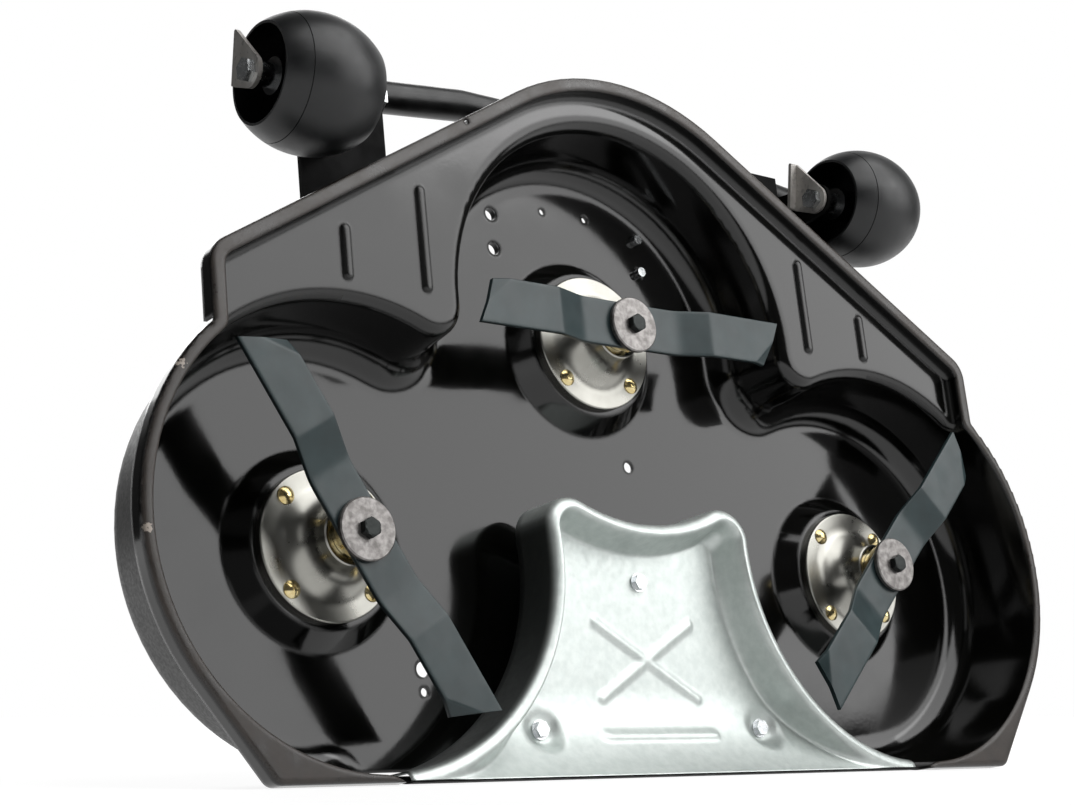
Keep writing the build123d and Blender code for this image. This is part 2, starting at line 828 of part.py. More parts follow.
def ramp_depth(v):
    """Depth of the tray's ramp past its straight stretch, on an arc tangent to the straight."""
    turn_depth = plug_crest_depth + plug_ramp_turn_v * ramp_sin / ramp_cos
    run = plug_ramp_v - plug_ramp_turn_v
    drop = plug_tray_depth - turn_depth
    radius = (run**2 + drop**2) / (run * ramp_sin - drop * ramp_cos) / 2
    along = v - plug_ramp_turn_v - radius * ramp_sin
    return turn_depth - radius * ramp_cos + math.sqrt(radius**2 - along**2)


def plug_tray(inset):
    """Air above the plug's tray, made larger by inset: level floor, ramp to the rear, screw pockets."""
    with BuildPart() as tray:
        with BuildSketch(deck):
            plug_outline(plug_ridge - inset, plug_tray_horn_radius + inset)
        extrude(amount=-pan_depth)
        with BuildSketch(side_plane(0)):
            with BuildLine():
                rear = (0, -plug_crest_depth - inset)
                foot = (plug_ramp_v, -plug_tray_depth - inset)
                turn = (plug_ramp_turn_v, -ramp_depth(plug_ramp_turn_v) - inset)
                Line(rear, turn)
                TangentArc(turn, foot, tangent=(ramp_cos, -ramp_sin))
                Polyline(
                    foot,
                    (front_spindle_v, -plug_tray_depth - inset),
                    (front_spindle_v, 0),
                    (-pan_depth, 0),
                    (-pan_depth, -plug_crest_depth - inset),
                    rear,
                )
            make_face()
        extrude(amount=mouth_half_width, both=True, mode=Mode.INTERSECT)
        floor = tray.faces().sort_by(underside)[0]
        walls = floor.edges().filter_by(lambda e: deck.to_local_coords(e @ 0.5).Y > plug_ramp_v + plug_sheet)
        fillet(walls, plug_tray_radius + inset)
        with BuildSketch(deck):
            with Locations(*plug_screws_at):
                Circle(plug_pocket_radius + inset)
        extrude(amount=-plug_tray_depth - inset)
    return tray.part


def plug_form(inset):
    """Outside of the plug made smaller by inset: rounded ridge round a sunk tray, rear cut to a slope."""
    with BuildPart() as body:
        with BuildSketch(deck):
            plug_outline(inset, plug_horn_radius - inset)
        extrude(amount=-pan_depth + plug_foot_gap)
        with BuildSketch(side_plane(0)):
            Polygon(
                (-pan_depth, 0),
                (-pan_depth, -crest_depth(0, inset)),
                (0, -crest_depth(0, inset)),
                (front_spindle_v, -crest_depth(front_spindle_v, inset)),
                (front_spindle_v, 0),
                align=None,
            )
        extrude(amount=mouth_half_width, both=True, mode=Mode.SUBTRACT)
        add(plug_tray(inset), mode=Mode.SUBTRACT)
        fillet(body.edges().filter_by(lambda e: is_crest_edge(e, inset)), plug_crest_radius - inset)
        with BuildSketch(side_plane(0)):
            rear_cut(rear_slope, plug_crest_depth)
        extrude(amount=mouth_half_width, both=True, mode=Mode.SUBTRACT)
    return body.part


with BuildPart() as mulching_plug:
    add(plug_form(0))
    add(plug_form(plug_sheet), mode=Mode.SUBTRACT)
    with BuildSketch(seat(0, 0, plug_tray_depth + plug_sheet)):
        with Locations(*plug_screws_at):
            Circle(screw_radius + seat_clearance)
    extrude(amount=plug_sheet, mode=Mode.SUBTRACT)
    with BuildSketch(seat(0, plug_cross_v, plug_tray_depth)):
        SlotOverall(plug_cross_length, plug_rib_width, rotation=plug_cross_angle)
        SlotOverall(plug_cross_length, plug_rib_width, rotation=-plug_cross_angle)
    extrude(amount=plug_rib_height)
    # pressed bar across the ramp, kept to the tray's side of the sheet
    bar_depth = ramp_depth(plug_bar_v) - plug_bar_height + plug_bar_radius
    with BuildPart(mode=Mode.PRIVATE) as bar:
        with BuildSketch(side_plane(0)):
            with Locations((plug_bar_v, -bar_depth)):
                Circle(plug_bar_radius)
        extrude(amount=plug_bar_length / 2, both=True)
        add(plug_tray(plug_sheet), mode=Mode.INTERSECT)
    add(bar.part)
save(mulching_plug.part, "mulching_plug")

with BuildPart() as plug_posts:
    with BuildSketch(seat(0, 0, pan_depth)):
        with Locations(*plug_screws_at):
            Circle(plug_post_radius)
            Circle(screw_radius + seat_clearance, mode=Mode.SUBTRACT)
    extrude(amount=pan_depth - plug_tray_depth - plug_sheet)
save(plug_posts.part, "plug_posts")

with BuildPart() as plug_screws:
    for u, v in plug_screws_at:
        screw_end = plate_back + nut_height
        add(hex_bolt(u, v, plug_head_flats, plug_head_height, plug_tray_depth, screw_radius, screw_end))
        with BuildSketch(seat(u, v, plug_tray_depth)):
            Circle(plug_head_flange)
        extrude(amount=plug_head_flange_height)
save(plug_screws.part, "plug_screws")

with BuildPart() as plug_nuts:
    with BuildSketch(seat(0, 0, plate_back)):
        with Locations(*plug_screws_at):
            RegularPolygon(nut_flats / 2, 6, major_radius=False)
            Circle(screw_radius + seat_clearance, mode=Mode.SUBTRACT)
    extrude(amount=-nut_height)
save(plug_nuts.part, "plug_nuts")

# Carrying frame: bent front tube, rails, feet, rear lugs and roller brackets

tube_end_v = tube_v - math.tan(math.radians(tube_sweep)) * (tube_half_length - tube_bend_u)
with BuildPart() as front_tube:
    with BuildLine(seat(0, 0, tube_depth)) as route:
        FilletPolyline(
            (-tube_half_length, tube_end_v),
            (-tube_bend_u, tube_v),
            (tube_bend_u, tube_v),
            (tube_half_length, tube_end_v),
            radius=tube_bend_radius,
        )
    start = route.line @ 0
    with BuildSketch(Plane(start, x_dir=deck.z_dir, z_dir=route.line % 0)):
        Circle(tube_radius)
        Circle(tube_radius - tube_wall, mode=Mode.SUBTRACT)
    sweep()
save(front_tube.part, "front_tube")

rail_depth = plate_back + rail_size / 2
rail_front_v = foot_hole_v + rail_overrun
for name, side in (("left", -1), ("right", 1)):
    with BuildPart() as rail:
        rail_rear = seat(side * rail_u, rail_rear_v, rail_depth).origin
        with BuildSketch(Plane(rail_rear, x_dir=deck.x_dir, z_dir=deck.y_dir)):
            RectangleRounded(rail_size, rail_size, rail_wall)
            Rectangle(rail_size - 2 * rail_wall, rail_size - 2 * rail_wall, mode=Mode.SUBTRACT)
        extrude(amount=rail_front_v - rail_rear_v)
    save(rail.part, f"frame_rail_{name}")

    foot_outer = rail_u - rail_size / 2
    foot_inner = foot_hole_u - foot_margin
    foot_radius = foot_hole_radius if side < 0 else foot_bolt_radius + seat_clearance
    with BuildPart() as foot:
        with BuildSketch(seat(side * (foot_outer + foot_inner) / 2, foot_hole_v, plate_back)):
            Rectangle(foot_outer - foot_inner, foot_length)
            with Locations((side * (foot_hole_u - (foot_outer + foot_inner) / 2), 0)):
                with GridLocations(0, foot_hole_pitch, 1, 2):
                    Circle(foot_radius, mode=Mode.SUBTRACT)
        extrude(amount=-foot_thickness)
    save(foot.part, f"frame_foot_{name}")

    lug_u = side * (rail_u - rail_size / 2 - lug_thickness / 2)
    with BuildPart() as lug:
        with BuildSketch(side_plane(lug_u)):
            ground_front = (plate_back - hem_depth) * lean_sin / lean_cos
            ground_back = (lug_back_depth - hem_depth) * lean_sin / lean_cos
            Polygon(
                (ground_front, -plate_back),
                (ground_back, -lug_back_depth),
                (lug_bore_v, -lug_back_depth),
                (lug_top_v, -plate_back - rail_size),
                (lug_top_v, -plate_back),
                align=None,
            )
            with Locations((lug_bore_v, -lug_bore_depth)):
                Circle(lug_bore_radius, mode=Mode.SUBTRACT)
        extrude(amount=lug_thickness / 2, both=True)
    save(lug.part, f"rear_lug_{name}")

with BuildPart() as foot_bolts:
    with BuildSketch(seat(foot_hole_u, foot_hole_v, plate_back + foot_thickness)):
        with GridLocations(0, foot_hole_pitch, 1, 2):
            RegularPolygon(foot_bolt_flats / 2, 6, major_radius=False)
    extrude(amount=-foot_bolt_head)
    with BuildSketch(seat(foot_hole_u, foot_hole_v, plate_back + foot_thickness)):
        with GridLocations(0, foot_hole_pitch, 1, 2):
            Circle(foot_bolt_radius)
    extrude(amount=foot_thickness + sheet + foot_bolt_end)
save(foot_bolts.part, "foot_bolts")

# Support rollers on their brackets


def axle_section(u):
    """Plane along a roller's axis: local x runs across the deck, local y is minus depth from the axle."""
    return Plane(deck.location * Location((u, roller_v, -roller_depth), (90, 0, 0)))


cheek_near = roller_u - roller_length / 2 - cheek_gap
cheek_far = cheek_near - cheek_thickness
plate_out = roller_u + roller_length / 2 + end_gap
bolt_seat = plate_out + end_plate_thickness
nut_seat = cheek_far - end_plate_thickness
for name, side in (("left", -1), ("right", 1)):
    axle = Axis(seat(side * roller_u, roller_v, roller_depth).origin, deck.x_dir)
    half = roller_length / 2
    crown_rise = roller_radius - roller_mouth_radius
    with BuildPart() as roller:
        with BuildSketch(axle_section(side * roller_u)):
            with BuildLine():
                ThreePointArc((-half, roller_mouth_radius), (0, roller_radius), (half, roller_mouth_radius))
                Polyline(
                    (half, roller_mouth_radius),
                    (half, roller_mouth_radius - roller_edge),
                    (roller_web / 2, roller_radius - 2 * roller_wall),
                    (roller_web / 2, roller_hub_radius),
                    (roller_hub_length / 2, roller_hub_radius),
                    (roller_hub_length / 2, axle_radius + running_clearance),
                    (-roller_hub_length / 2, axle_radius + running_clearance),
                    (-roller_hub_length / 2, roller_hub_radius),
                    (-roller_web / 2, roller_hub_radius),
                    (-roller_web / 2, roller_radius - 2 * roller_wall),
                    (-half, roller_mouth_radius - roller_edge),
                    (-half, roller_mouth_radius),
                )
            make_face()
            bow = (half**2 + crown_rise**2) / (2 * crown_rise)
            seam_u = seam_inset - half
            seam_radius = roller_radius - bow + math.sqrt(bow**2 - seam_u**2)
            with Locations((seam_u, seam_radius)):
                Rectangle(seam_width, 2 * seam_depth, mode=Mode.SUBTRACT)
        revolve(axis=axle)
    save(roller.part, f"roller_{name}")

    with BuildPart() as bracket:
        bend = tube_depth - tube_radius - bracket_thickness
        shelf_back = shelf_depth + sheet
        with BuildSketch(side_plane(side * bracket_inner_u)):
            Polygon(
                (bracket_top_v, -bend),
                (bracket_top_v, -bend - bracket_thickness),
                (bracket_leg_v, -bend - bracket_thickness),
                (bracket_leg_v, -shelf_back - bracket_thickness),
                (bracket_leg_v - bracket_foot_length, -shelf_back - bracket_thickness),
                (bracket_leg_v - bracket_foot_length, -shelf_back),
                (bracket_leg_v + bracket_thickness, -shelf_back),
                (bracket_leg_v + bracket_thickness, -bend),
                align=None,
            )
        extrude(amount=side * (bracket_outer_u - bracket_inner_u))
        with BuildSketch(side_plane(side * cheek_far)):
            with Locations((roller_v, -roller_depth)):
                nose = Circle(cheek_half_width, mode=Mode.PRIVATE)
            with Locations((roller_v, -bend + bracket_thickness / 2)):
                root = Rectangle(cheek_root, bracket_thickness, mode=Mode.PRIVATE)
            make_hull(nose.edges() + root.edges())
            with Locations((roller_v, -roller_depth)):
                Circle(axle_bolt_radius + seat_clearance, mode=Mode.SUBTRACT)
        extrude(amount=side * cheek_thickness)
    save(bracket.part, f"roller_bracket_{name}")

    with BuildPart() as end_plates:
        for place in (cheek_far - end_plate_thickness, plate_out):
            with BuildSketch(side_plane(side * place)):
                with Locations((roller_v, -roller_depth)):
                    nose = Circle(end_plate_nose, mode=Mode.PRIVATE)
                with Locations(
                    (roller_v + end_plate_reach_v, -roller_depth - end_plate_reach_depth),
                    (roller_v, -roller_depth - end_plate_heel_depth),
                ):
                    tails = Circle(end_plate_tail, mode=Mode.PRIVATE)
                make_hull(nose.edges() + tails.edges())
                with Locations((roller_v, -roller_depth)):
                    Circle(axle_bolt_radius + seat_clearance, mode=Mode.SUBTRACT)
            extrude(amount=side * end_plate_thickness)
        with BuildSketch(side_plane(side * nut_seat)):
            with Locations(
                (roller_v + end_plate_reach_v, -roller_depth - end_plate_reach_depth),
                (roller_v, -roller_depth - end_plate_heel_depth),
            ):
                tails = Circle(end_plate_tail, mode=Mode.PRIVATE)
            make_hull(tails.edges())
        extrude(amount=-side * end_flange)
    save(end_plates.part, f"roller_plates_{name}")

with BuildPart() as roller_sleeves:
    for side in (-1, 1):
        with BuildSketch(side_plane(side * cheek_near)):
            with Locations((roller_v, -roller_depth)):
                Circle(axle_radius)
                Circle(axle_bolt_radius + seat_clearance, mode=Mode.SUBTRACT)
        extrude(amount=side * (plate_out - cheek_near))
save(roller_sleeves.part, "roller_sleeves")

with BuildPart() as axle_bolts:
    for side in (-1, 1):
        with BuildSketch(side_plane(side * bolt_seat)):
            with Locations((roller_v, -roller_depth)):
                RegularPolygon(axle_bolt_flats / 2, 6, major_radius=False)
        extrude(amount=side * axle_bolt_head)
        with BuildSketch(side_plane(side * bolt_seat)):
            with Locations((roller_v, -roller_depth)):
                Circle(axle_bolt_radius)
        extrude(amount=side * (nut_seat - axle_bolt_head - bolt_seat))
save(axle_bolts.part, "axle_bolts")

with BuildPart() as axle_nuts:
    for side in (-1, 1):
        with BuildSketch(side_plane(side * nut_seat)):
            with Locations((roller_v, -roller_depth)):
                RegularPolygon(axle_bolt_flats / 2, 6, major_radius=False)
                Circle(axle_bolt_radius + seat_clearance, mode=Mode.SUBTRACT)
        extrude(amount=-side * axle_bolt_head)
save(axle_nuts.part, "axle_nuts")
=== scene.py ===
import math

import bmesh
import bpy
import numpy as np
from bpy.props import FloatProperty, PointerProperty, StringProperty
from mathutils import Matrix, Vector


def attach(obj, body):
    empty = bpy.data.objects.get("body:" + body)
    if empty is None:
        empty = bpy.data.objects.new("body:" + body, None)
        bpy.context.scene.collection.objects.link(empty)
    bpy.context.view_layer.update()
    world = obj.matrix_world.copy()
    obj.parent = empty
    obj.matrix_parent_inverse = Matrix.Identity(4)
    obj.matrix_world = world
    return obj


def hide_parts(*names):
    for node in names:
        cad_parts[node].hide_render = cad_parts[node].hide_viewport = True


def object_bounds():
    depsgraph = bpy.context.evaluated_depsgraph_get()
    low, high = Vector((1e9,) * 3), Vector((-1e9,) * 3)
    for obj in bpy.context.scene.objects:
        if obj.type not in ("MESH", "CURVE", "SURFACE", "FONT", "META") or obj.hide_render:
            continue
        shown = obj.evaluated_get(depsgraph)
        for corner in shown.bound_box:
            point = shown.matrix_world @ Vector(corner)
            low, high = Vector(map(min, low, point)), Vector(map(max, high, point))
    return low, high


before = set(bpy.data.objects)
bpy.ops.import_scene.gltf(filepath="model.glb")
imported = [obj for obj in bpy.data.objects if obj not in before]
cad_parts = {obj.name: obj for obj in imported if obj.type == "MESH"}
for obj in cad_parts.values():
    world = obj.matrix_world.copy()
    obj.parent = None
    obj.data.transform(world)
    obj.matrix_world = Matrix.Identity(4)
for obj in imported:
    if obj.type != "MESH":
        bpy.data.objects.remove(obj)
CAD_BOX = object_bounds()

bl_info = {
    "name": "Mower deck dresser",
    "version": (1, 0, 0),
    "blender": (4, 5, 0),
    "location": "View3D > Sidebar > Mower deck",
    "description": "Finishes, blades and stage for a mower deck that stands on its rear edge",
    "category": "Object",
}

# Deck coordinates in metres: u across, v forward along the deck, depth from the lip plane up into the deck.
LEAN = math.radians(8.9)
LEAN_SIN = math.sin(LEAN)
LEAN_COS = math.cos(LEAN)
DECK_AXES = {"v": (0, LEAN_SIN, LEAN_COS), "depth": (0, LEAN_COS, -LEAN_SIN)}
HEM_DEPTH = 0.018
DECK_Y = CAD_BOX[0][1]
DECK_Z = HEM_DEPTH * LEAN_SIN
SIDES = ("left", "front", "right")
SPINDLES = {"left": (-0.325, 0.210), "front": (0.0, 0.430), "right": (0.325, 0.210)}
# angle of each blade at rest, in degrees
BLADE_TURNS = {"left": 121.0, "front": 0.0, "right": 45.0}
# paint chips on the lip, as u and v
CHIPS = ((-0.4995, 0.3306), (-0.5345, 0.1957))
LATHE_STEPS = 96

# Plug: screws as u and v, ribs as two ends with a half width and a height, and points along its outline
PLUG_SCREWS = ((0.0, 0.185), (-0.135, 0.048), (0.135, 0.048))
PLUG_RIBS = (
    (((-0.059, 0.0755), (0.059, 0.1465)), 0.007, 0.0021),
    (((-0.059, 0.1465), (0.059, 0.0755)), 0.007, 0.0021),
    (((-0.066, 0.041), (0.066, 0.041)), 0.0075, 0.0034),
)
SIDE_STEPS, HORN_STEPS, FRONT_STEPS = 80, 14, 120
# section of the black wedge under the plug, painted shade in the gap over the floor, as depth and v
WEDGE_SECTION = (
    (0.006, 0.0003),
    (0.018, 0.0003),
    (0.056, 0.0066),
    (0.056, 0.0112),
    (0.010, 0.0016),
    (0.006, 0.0016),
)
WEDGE_STEPS = 25

# Camera from the deck's origin, the way it looks, and softboxes as place, width and height
CAMERA = (-1.2284, -1.3156, 0.0570)
VIEW = (0.6145, 0.7738, 0.1540)
LAMP_AIM = (0.0, 0.0, 0.33)
LAMPS = {
    "key": ((1.9, -2.15, 1.55), 2.6, 1.9),
    "top": ((0.6, -1.6, 3.1), 3.6, 2.8),
    "fill": ((-2.6, -1.0, 1.6), 1.0, 1.6),
    "rear": ((0.6, 3.2, 2.2), 3.0, 2.0),
}


def place(u, v, depth):
    """World points of deck coordinates: u stays X, v leans back by the deck's angle, depth runs behind."""
    u, v, depth = np.broadcast_arrays(u, v, depth)
    return np.stack(
        [u, DECK_Y + v * LEAN_SIN + depth * LEAN_COS, DECK_Z + v * LEAN_COS - depth * LEAN_SIN],
        axis=-1,
    )


def smooth(t):
    """Smooth step from 0 to 1: three t squared less two t cubed."""
    return t * t * (3 - 2 * t)


# Colours and nodes


def linear(code):
    """Linear RGBA of an sRGB hex colour."""
    rgb = np.array([int(code[i : i + 2], 16) for i in (1, 3, 5)]) / 255
    rgb = np.where(rgb <= 0.04045, rgb / 12.92, ((rgb + 0.055) / 1.055) ** 2.4)
    return (*rgb.tolist(), 1.0)


def add_node(tree, kind, inputs=None, **settings):
    """Add one node with its settings; an input that is a socket gets a link, any other gets its value."""
    node = tree.nodes.new(kind)
    for name, value in settings.items():
        setattr(node, name, value)
    for name, value in (inputs or {}).items():
        if isinstance(value, bpy.types.NodeSocket):
            tree.links.new(value, node.inputs[name])
        else:
            node.inputs[name].default_value = value
    return node


def new_material(name):
    """A new node material with its tree, its Principled shader and its Object coordinates."""
    material = bpy.data.materials.new(name)
    material.use_nodes = True
    tree = material.node_tree
    shader = tree.nodes["Principled BSDF"]
    coords = add_node(tree, "ShaderNodeTexCoord").outputs["Object"]
    return material, tree, shader, coords


def noise_range(tree, coords, size_mm, low, high):
    """Noise of a grain size in millimetres, its middle part spread from low to high."""
    noise = add_node(
        tree,
        "ShaderNodeTexNoise",
        {"Vector": coords, "Scale": 1000.0 / size_mm, "Detail": 3.0, "Roughness": 0.55},
    ).outputs["Fac"]
    spread = add_node(
        tree,
        "ShaderNodeMapRange",
        {"Value": noise, "From Min": 0.35, "From Max": 0.65, "To Min": low, "To Max": high},
    )
    return spread.outputs["Result"]


def deck_socket(tree, coords, name):
    """Socket of a point's v or depth: its dot product with that axis, less that of the deck's origin."""
    axis = DECK_AXES[name]
    start = axis[1] * DECK_Y + axis[2] * DECK_Z
    along = add_node(tree, "ShaderNodeVectorMath", {0: coords, 1: axis}, operation="DOT_PRODUCT")
    shift = {0: along.outputs["Value"], 1: start}
    return add_node(tree, "ShaderNodeMath", shift, operation="SUBTRACT").outputs[0]


def dress(material, *names):
    """Put one material on CAD nodes through their slots."""
    for name in names:
        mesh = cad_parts[name].data
        mesh.materials.clear()
        mesh.materials.append(material)


def named(*starts):
    """Names of the CAD nodes that start with any of these words."""
    return [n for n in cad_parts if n.startswith(starts)]


# Meshes


def finish_piece(name, points, faces, material, body, slot, *replaced):
    """Mesh object at the origin from points and faces, outward, smooth by angle and riding on a body."""
    mesh = bpy.data.meshes.new(name)
    mesh.from_pydata(points.tolist(), [], faces)
    shape = bmesh.new()
    shape.from_mesh(mesh)
    bmesh.ops.remove_doubles(shape, verts=shape.verts, dist=1e-6)
    bmesh.ops.recalc_face_normals(shape, faces=shape.faces)
    shape.to_mesh(mesh)
    shape.free()
    mesh.shade_smooth()
    mesh.set_sharp_from_angle(angle=math.radians(40))
    mesh.materials.append(material)
    piece = bpy.data.objects.new(name, mesh)
    bpy.context.scene.collection.objects.link(piece)
    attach(piece, body)
    if replaced:
        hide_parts(*replaced)
    return piece


def loop_faces(rows, around):
    """Quads of a grid that closes round its second direction, with a cap at each end."""
    i, j = np.meshgrid(np.arange(rows - 1), np.arange(around), indexing="ij")
    k = (j + 1) % around
    quads = [i * around + j, i * around + k, (i + 1) * around + k, (i + 1) * around + j]
    faces = np.stack(quads, axis=-1).reshape(-1, 4).tolist()
    faces.append(list(range(around - 1, -1, -1)))
    faces.append(list(range((rows - 1) * around, rows * around)))
    return faces


def sheet_faces(*sheets):
    """Quads of several open grids of points that are stored one after another."""
    faces, first = [], 0
    for sheet in sheets:
        rows, columns = sheet.shape[:2]
        index = first + np.arange(rows * columns).reshape(rows, columns)
        quads = [index[:-1, :-1], index[:-1, 1:], index[1:, 1:], index[1:, :-1]]
        faces += np.stack(quads, axis=-1).reshape(-1, 4).tolist()
        first += rows * columns
    return faces


# Sizes and colours that a user would change


class DECK_PG_paint(bpy.types.PropertyGroup):
    """Paint of the pressed shell and of the carrying frame."""

    gloss: StringProperty(name="Gloss", description="sRGB hex of the stoved paint", default="#070706")
    lip: StringProperty(name="Lip", description="sRGB hex of the dull rubbed lip", default="#3A332E")
    frame_black: StringProperty(name="Frame", description="sRGB hex of the frame paint", default="#0A0A0A")
    bare: StringProperty(name="Chips", description="sRGB hex of bare steel in chips", default="#B4A99E")
    chip: FloatProperty(name="Chip", description="Radius of a paint chip", default=0.0035, unit="LENGTH")


class DECK_PG_blade(bpy.types.PropertyGroup):
    """Pressed blade: a flat bar with stepped wings and slanted tips."""

    colour: StringProperty(name="Colour", description="sRGB hex of the dipped paint", default="#293739")
    length: FloatProperty(name="Length", description="Tip to tip", default=0.381, unit="LENGTH")
    width: FloatProperty(name="Width", description="Across the bar", default=0.046, unit="LENGTH")
    thickness: FloatProperty(name="Thickness", description="Of the bar", default=0.005, unit="LENGTH")
    hub_depth: FloatProperty(name="Hub", description="Depth of the hub's face", default=0.020, unit="LENGTH")
    drop: FloatProperty(name="Step", description="Height of the wing step", default=0.012, unit="LENGTH")
    step_start: FloatProperty(name="Start", description="Where the step begins", default=0.058, unit="LENGTH")
    step_end: FloatProperty(name="End", description="Where the wing begins", default=0.096, unit="LENGTH")
    hub_bend: FloatProperty(name="Hub bend", description="Its softness", default=0.003, unit="LENGTH")
    wing_bend: FloatProperty(name="Wing bend", description="Its softness", default=0.0008, unit="LENGTH")
    slant: FloatProperty(name="Slant", description="Short corner's setback", default=0.022, unit="LENGTH")


class DECK_PG_housing(bpy.types.PropertyGroup):
    """Turned spindle housing."""

    flange: FloatProperty(name="Flange", description="Flange radius", default=0.068, unit="LENGTH")
    flange_thickness: FloatProperty(name="Plate", description="Of the flange", default=0.007, unit="LENGTH")
    face_depth: FloatProperty(name="Face", description="Depth of the flange", default=0.075, unit="LENGTH")
    flare: FloatProperty(name="Flare", description="Radius where it starts", default=0.055, unit="LENGTH")
    neck: FloatProperty(name="Neck", description="Radius of the neck", default=0.0265, unit="LENGTH")
    nose_depth: FloatProperty(name="Nose", description="Depth of the neck end", default=0.040, unit="LENGTH")
    barrel: FloatProperty(name="Barrel", description="Radius behind the plate", default=0.032, unit="LENGTH")
    tail_depth: FloatProperty(name="Tail", description="Depth of the far end", default=0.120, unit="LENGTH")
    bore: FloatProperty(name="Bore", description="Radius of the bore", default=0.020, unit="LENGTH")
    pocket: FloatProperty(name="Pocket", description="Radius at a bearing", default=0.02355, unit="LENGTH")


class DECK_PG_bolt(bpy.types.PropertyGroup):
    """Hexagon bolt in the middle of a blade."""

    flats: FloatProperty(name="Flats", description="Across the flats", default=0.016, unit="LENGTH")
    height: FloatProperty(name="Height", description="Of the head", default=0.0065, unit="LENGTH")
    seat: FloatProperty(name="Seat", description="Depth of the washer's face", default=0.014, unit="LENGTH")


class DECK_PG_plug(bpy.types.PropertyGroup):
    """Pressed mulching plug, a bell-shaped tray inside a rounded bead, and the black wedge of painted shade
    under it.
    """

    reach: FloatProperty(name="Reach", description="Radius at a side spindle", default=0.2005, unit="LENGTH")
    saddle: FloatProperty(name="Saddle", description="Radius at the front one", default=0.1945, unit="LENGTH")
    horn: FloatProperty(name="Horn", description="Radius of the two horns", default=0.031, unit="LENGTH")
    bead: FloatProperty(name="Bead", description="Outer radius of the bead", default=0.010, unit="LENGTH")
    rim: FloatProperty(name="Rim", description="Width from outline to floor", default=0.026, unit="LENGTH")
    margin: FloatProperty(name="Margin", description="Floor border of the rim", default=0.014, unit="LENGTH")
    skirt: FloatProperty(name="Skirt", description="Height of the outer wall", default=0.052, unit="LENGTH")
    crest: FloatProperty(name="Crest", description="Depth of the rear bead", default=0.009, unit="LENGTH")
    tray: FloatProperty(name="Tray", description="Depth of the tray floor", default=0.052, unit="LENGTH")
    sheet: FloatProperty(name="Sheet", description="Sheet thickness", default=0.002, unit="LENGTH")
    # half width of the black wedge of painted shade under the plug
    mouth: FloatProperty(name="Mouth", description="Half width of the edge", default=0.3048, unit="LENGTH")
    # colour of the painted shade on the plug's outer wall
    skirt_shade: StringProperty(name="Shade", description="sRGB hex of the stained skirt", default="#161C1B")


class DECK_PG_stage(bpy.types.PropertyGroup):
    """Camera, floor and soft light."""

    lens: FloatProperty(name="Lens", description="Focal length on a 36 mm sensor", default=66.0)
    key: FloatProperty(name="Key", description="Power of the large softbox", default=46.0, unit="POWER")
    top: FloatProperty(name="Top", description="Power of the overhead softbox", default=90.0, unit="POWER")
    fill: FloatProperty(name="Fill", description="Power of the left softbox", default=2.5, unit="POWER")
    rear: FloatProperty(name="Rear", description="Power of the softbox behind", default=45.0, unit="POWER")
    sky: FloatProperty(name="Sky", description="Share of the backdrop that lights the part", default=0.75)
    room: FloatProperty(name="Room", description="Glow of the studio beside the backdrop", default=0.06)
    paper_glow: FloatProperty(name="Paper", description="Glow of the white floor", default=0.86)


# Finishes


def from_side_spindle(tree, coords):
    """Sockets of a point's distance from the middle, its depth, and its distance from a side spindle."""
    across = add_node(tree, "ShaderNodeSeparateXYZ", {0: coords}).outputs["X"]
    across = add_node(tree, "ShaderNodeMath", {0: across}, operation="ABSOLUTE").outputs[0]
    v = deck_socket(tree, coords, "v")
    depth = deck_socket(tree, coords, "depth")
    flat = add_node(tree, "ShaderNodeCombineXYZ", {0: across, 1: v}).outputs["Vector"]
    axis = (*SPINDLES["right"], 0)
    away = add_node(tree, "ShaderNodeVectorMath", {0: flat, 1: axis}, operation="DISTANCE")
    return across, depth, away.outputs["Value"]


def outside_walls(tree, coords):
    """1 outside the side chambers: past the wall's radius, which shrinks with depth by its draft."""
    wall_draft, wall_radius, past_hem, past_spindle = math.tan(math.radians(7)), 0.2056, 0.0195, 0.33
    across, depth, away = from_side_spindle(tree, coords)
    upright = {0: depth, 1: wall_draft, 2: away}
    upright = add_node(tree, "ShaderNodeMath", upright, operation="MULTIPLY_ADD").outputs[0]
    tests = [
        add_node(tree, "ShaderNodeMath", {0: value, 1: least}, operation="GREATER_THAN").outputs[0]
        for value, least in ((upright, wall_radius), (depth, past_hem), (across, past_spindle))
    ]
    both = add_node(tree, "ShaderNodeMath", {0: tests[0], 1: tests[1]}, operation="MULTIPLY").outputs[0]
    return add_node(tree, "ShaderNodeMath", {0: both, 1: tests[2]}, operation="MULTIPLY").outputs[0]


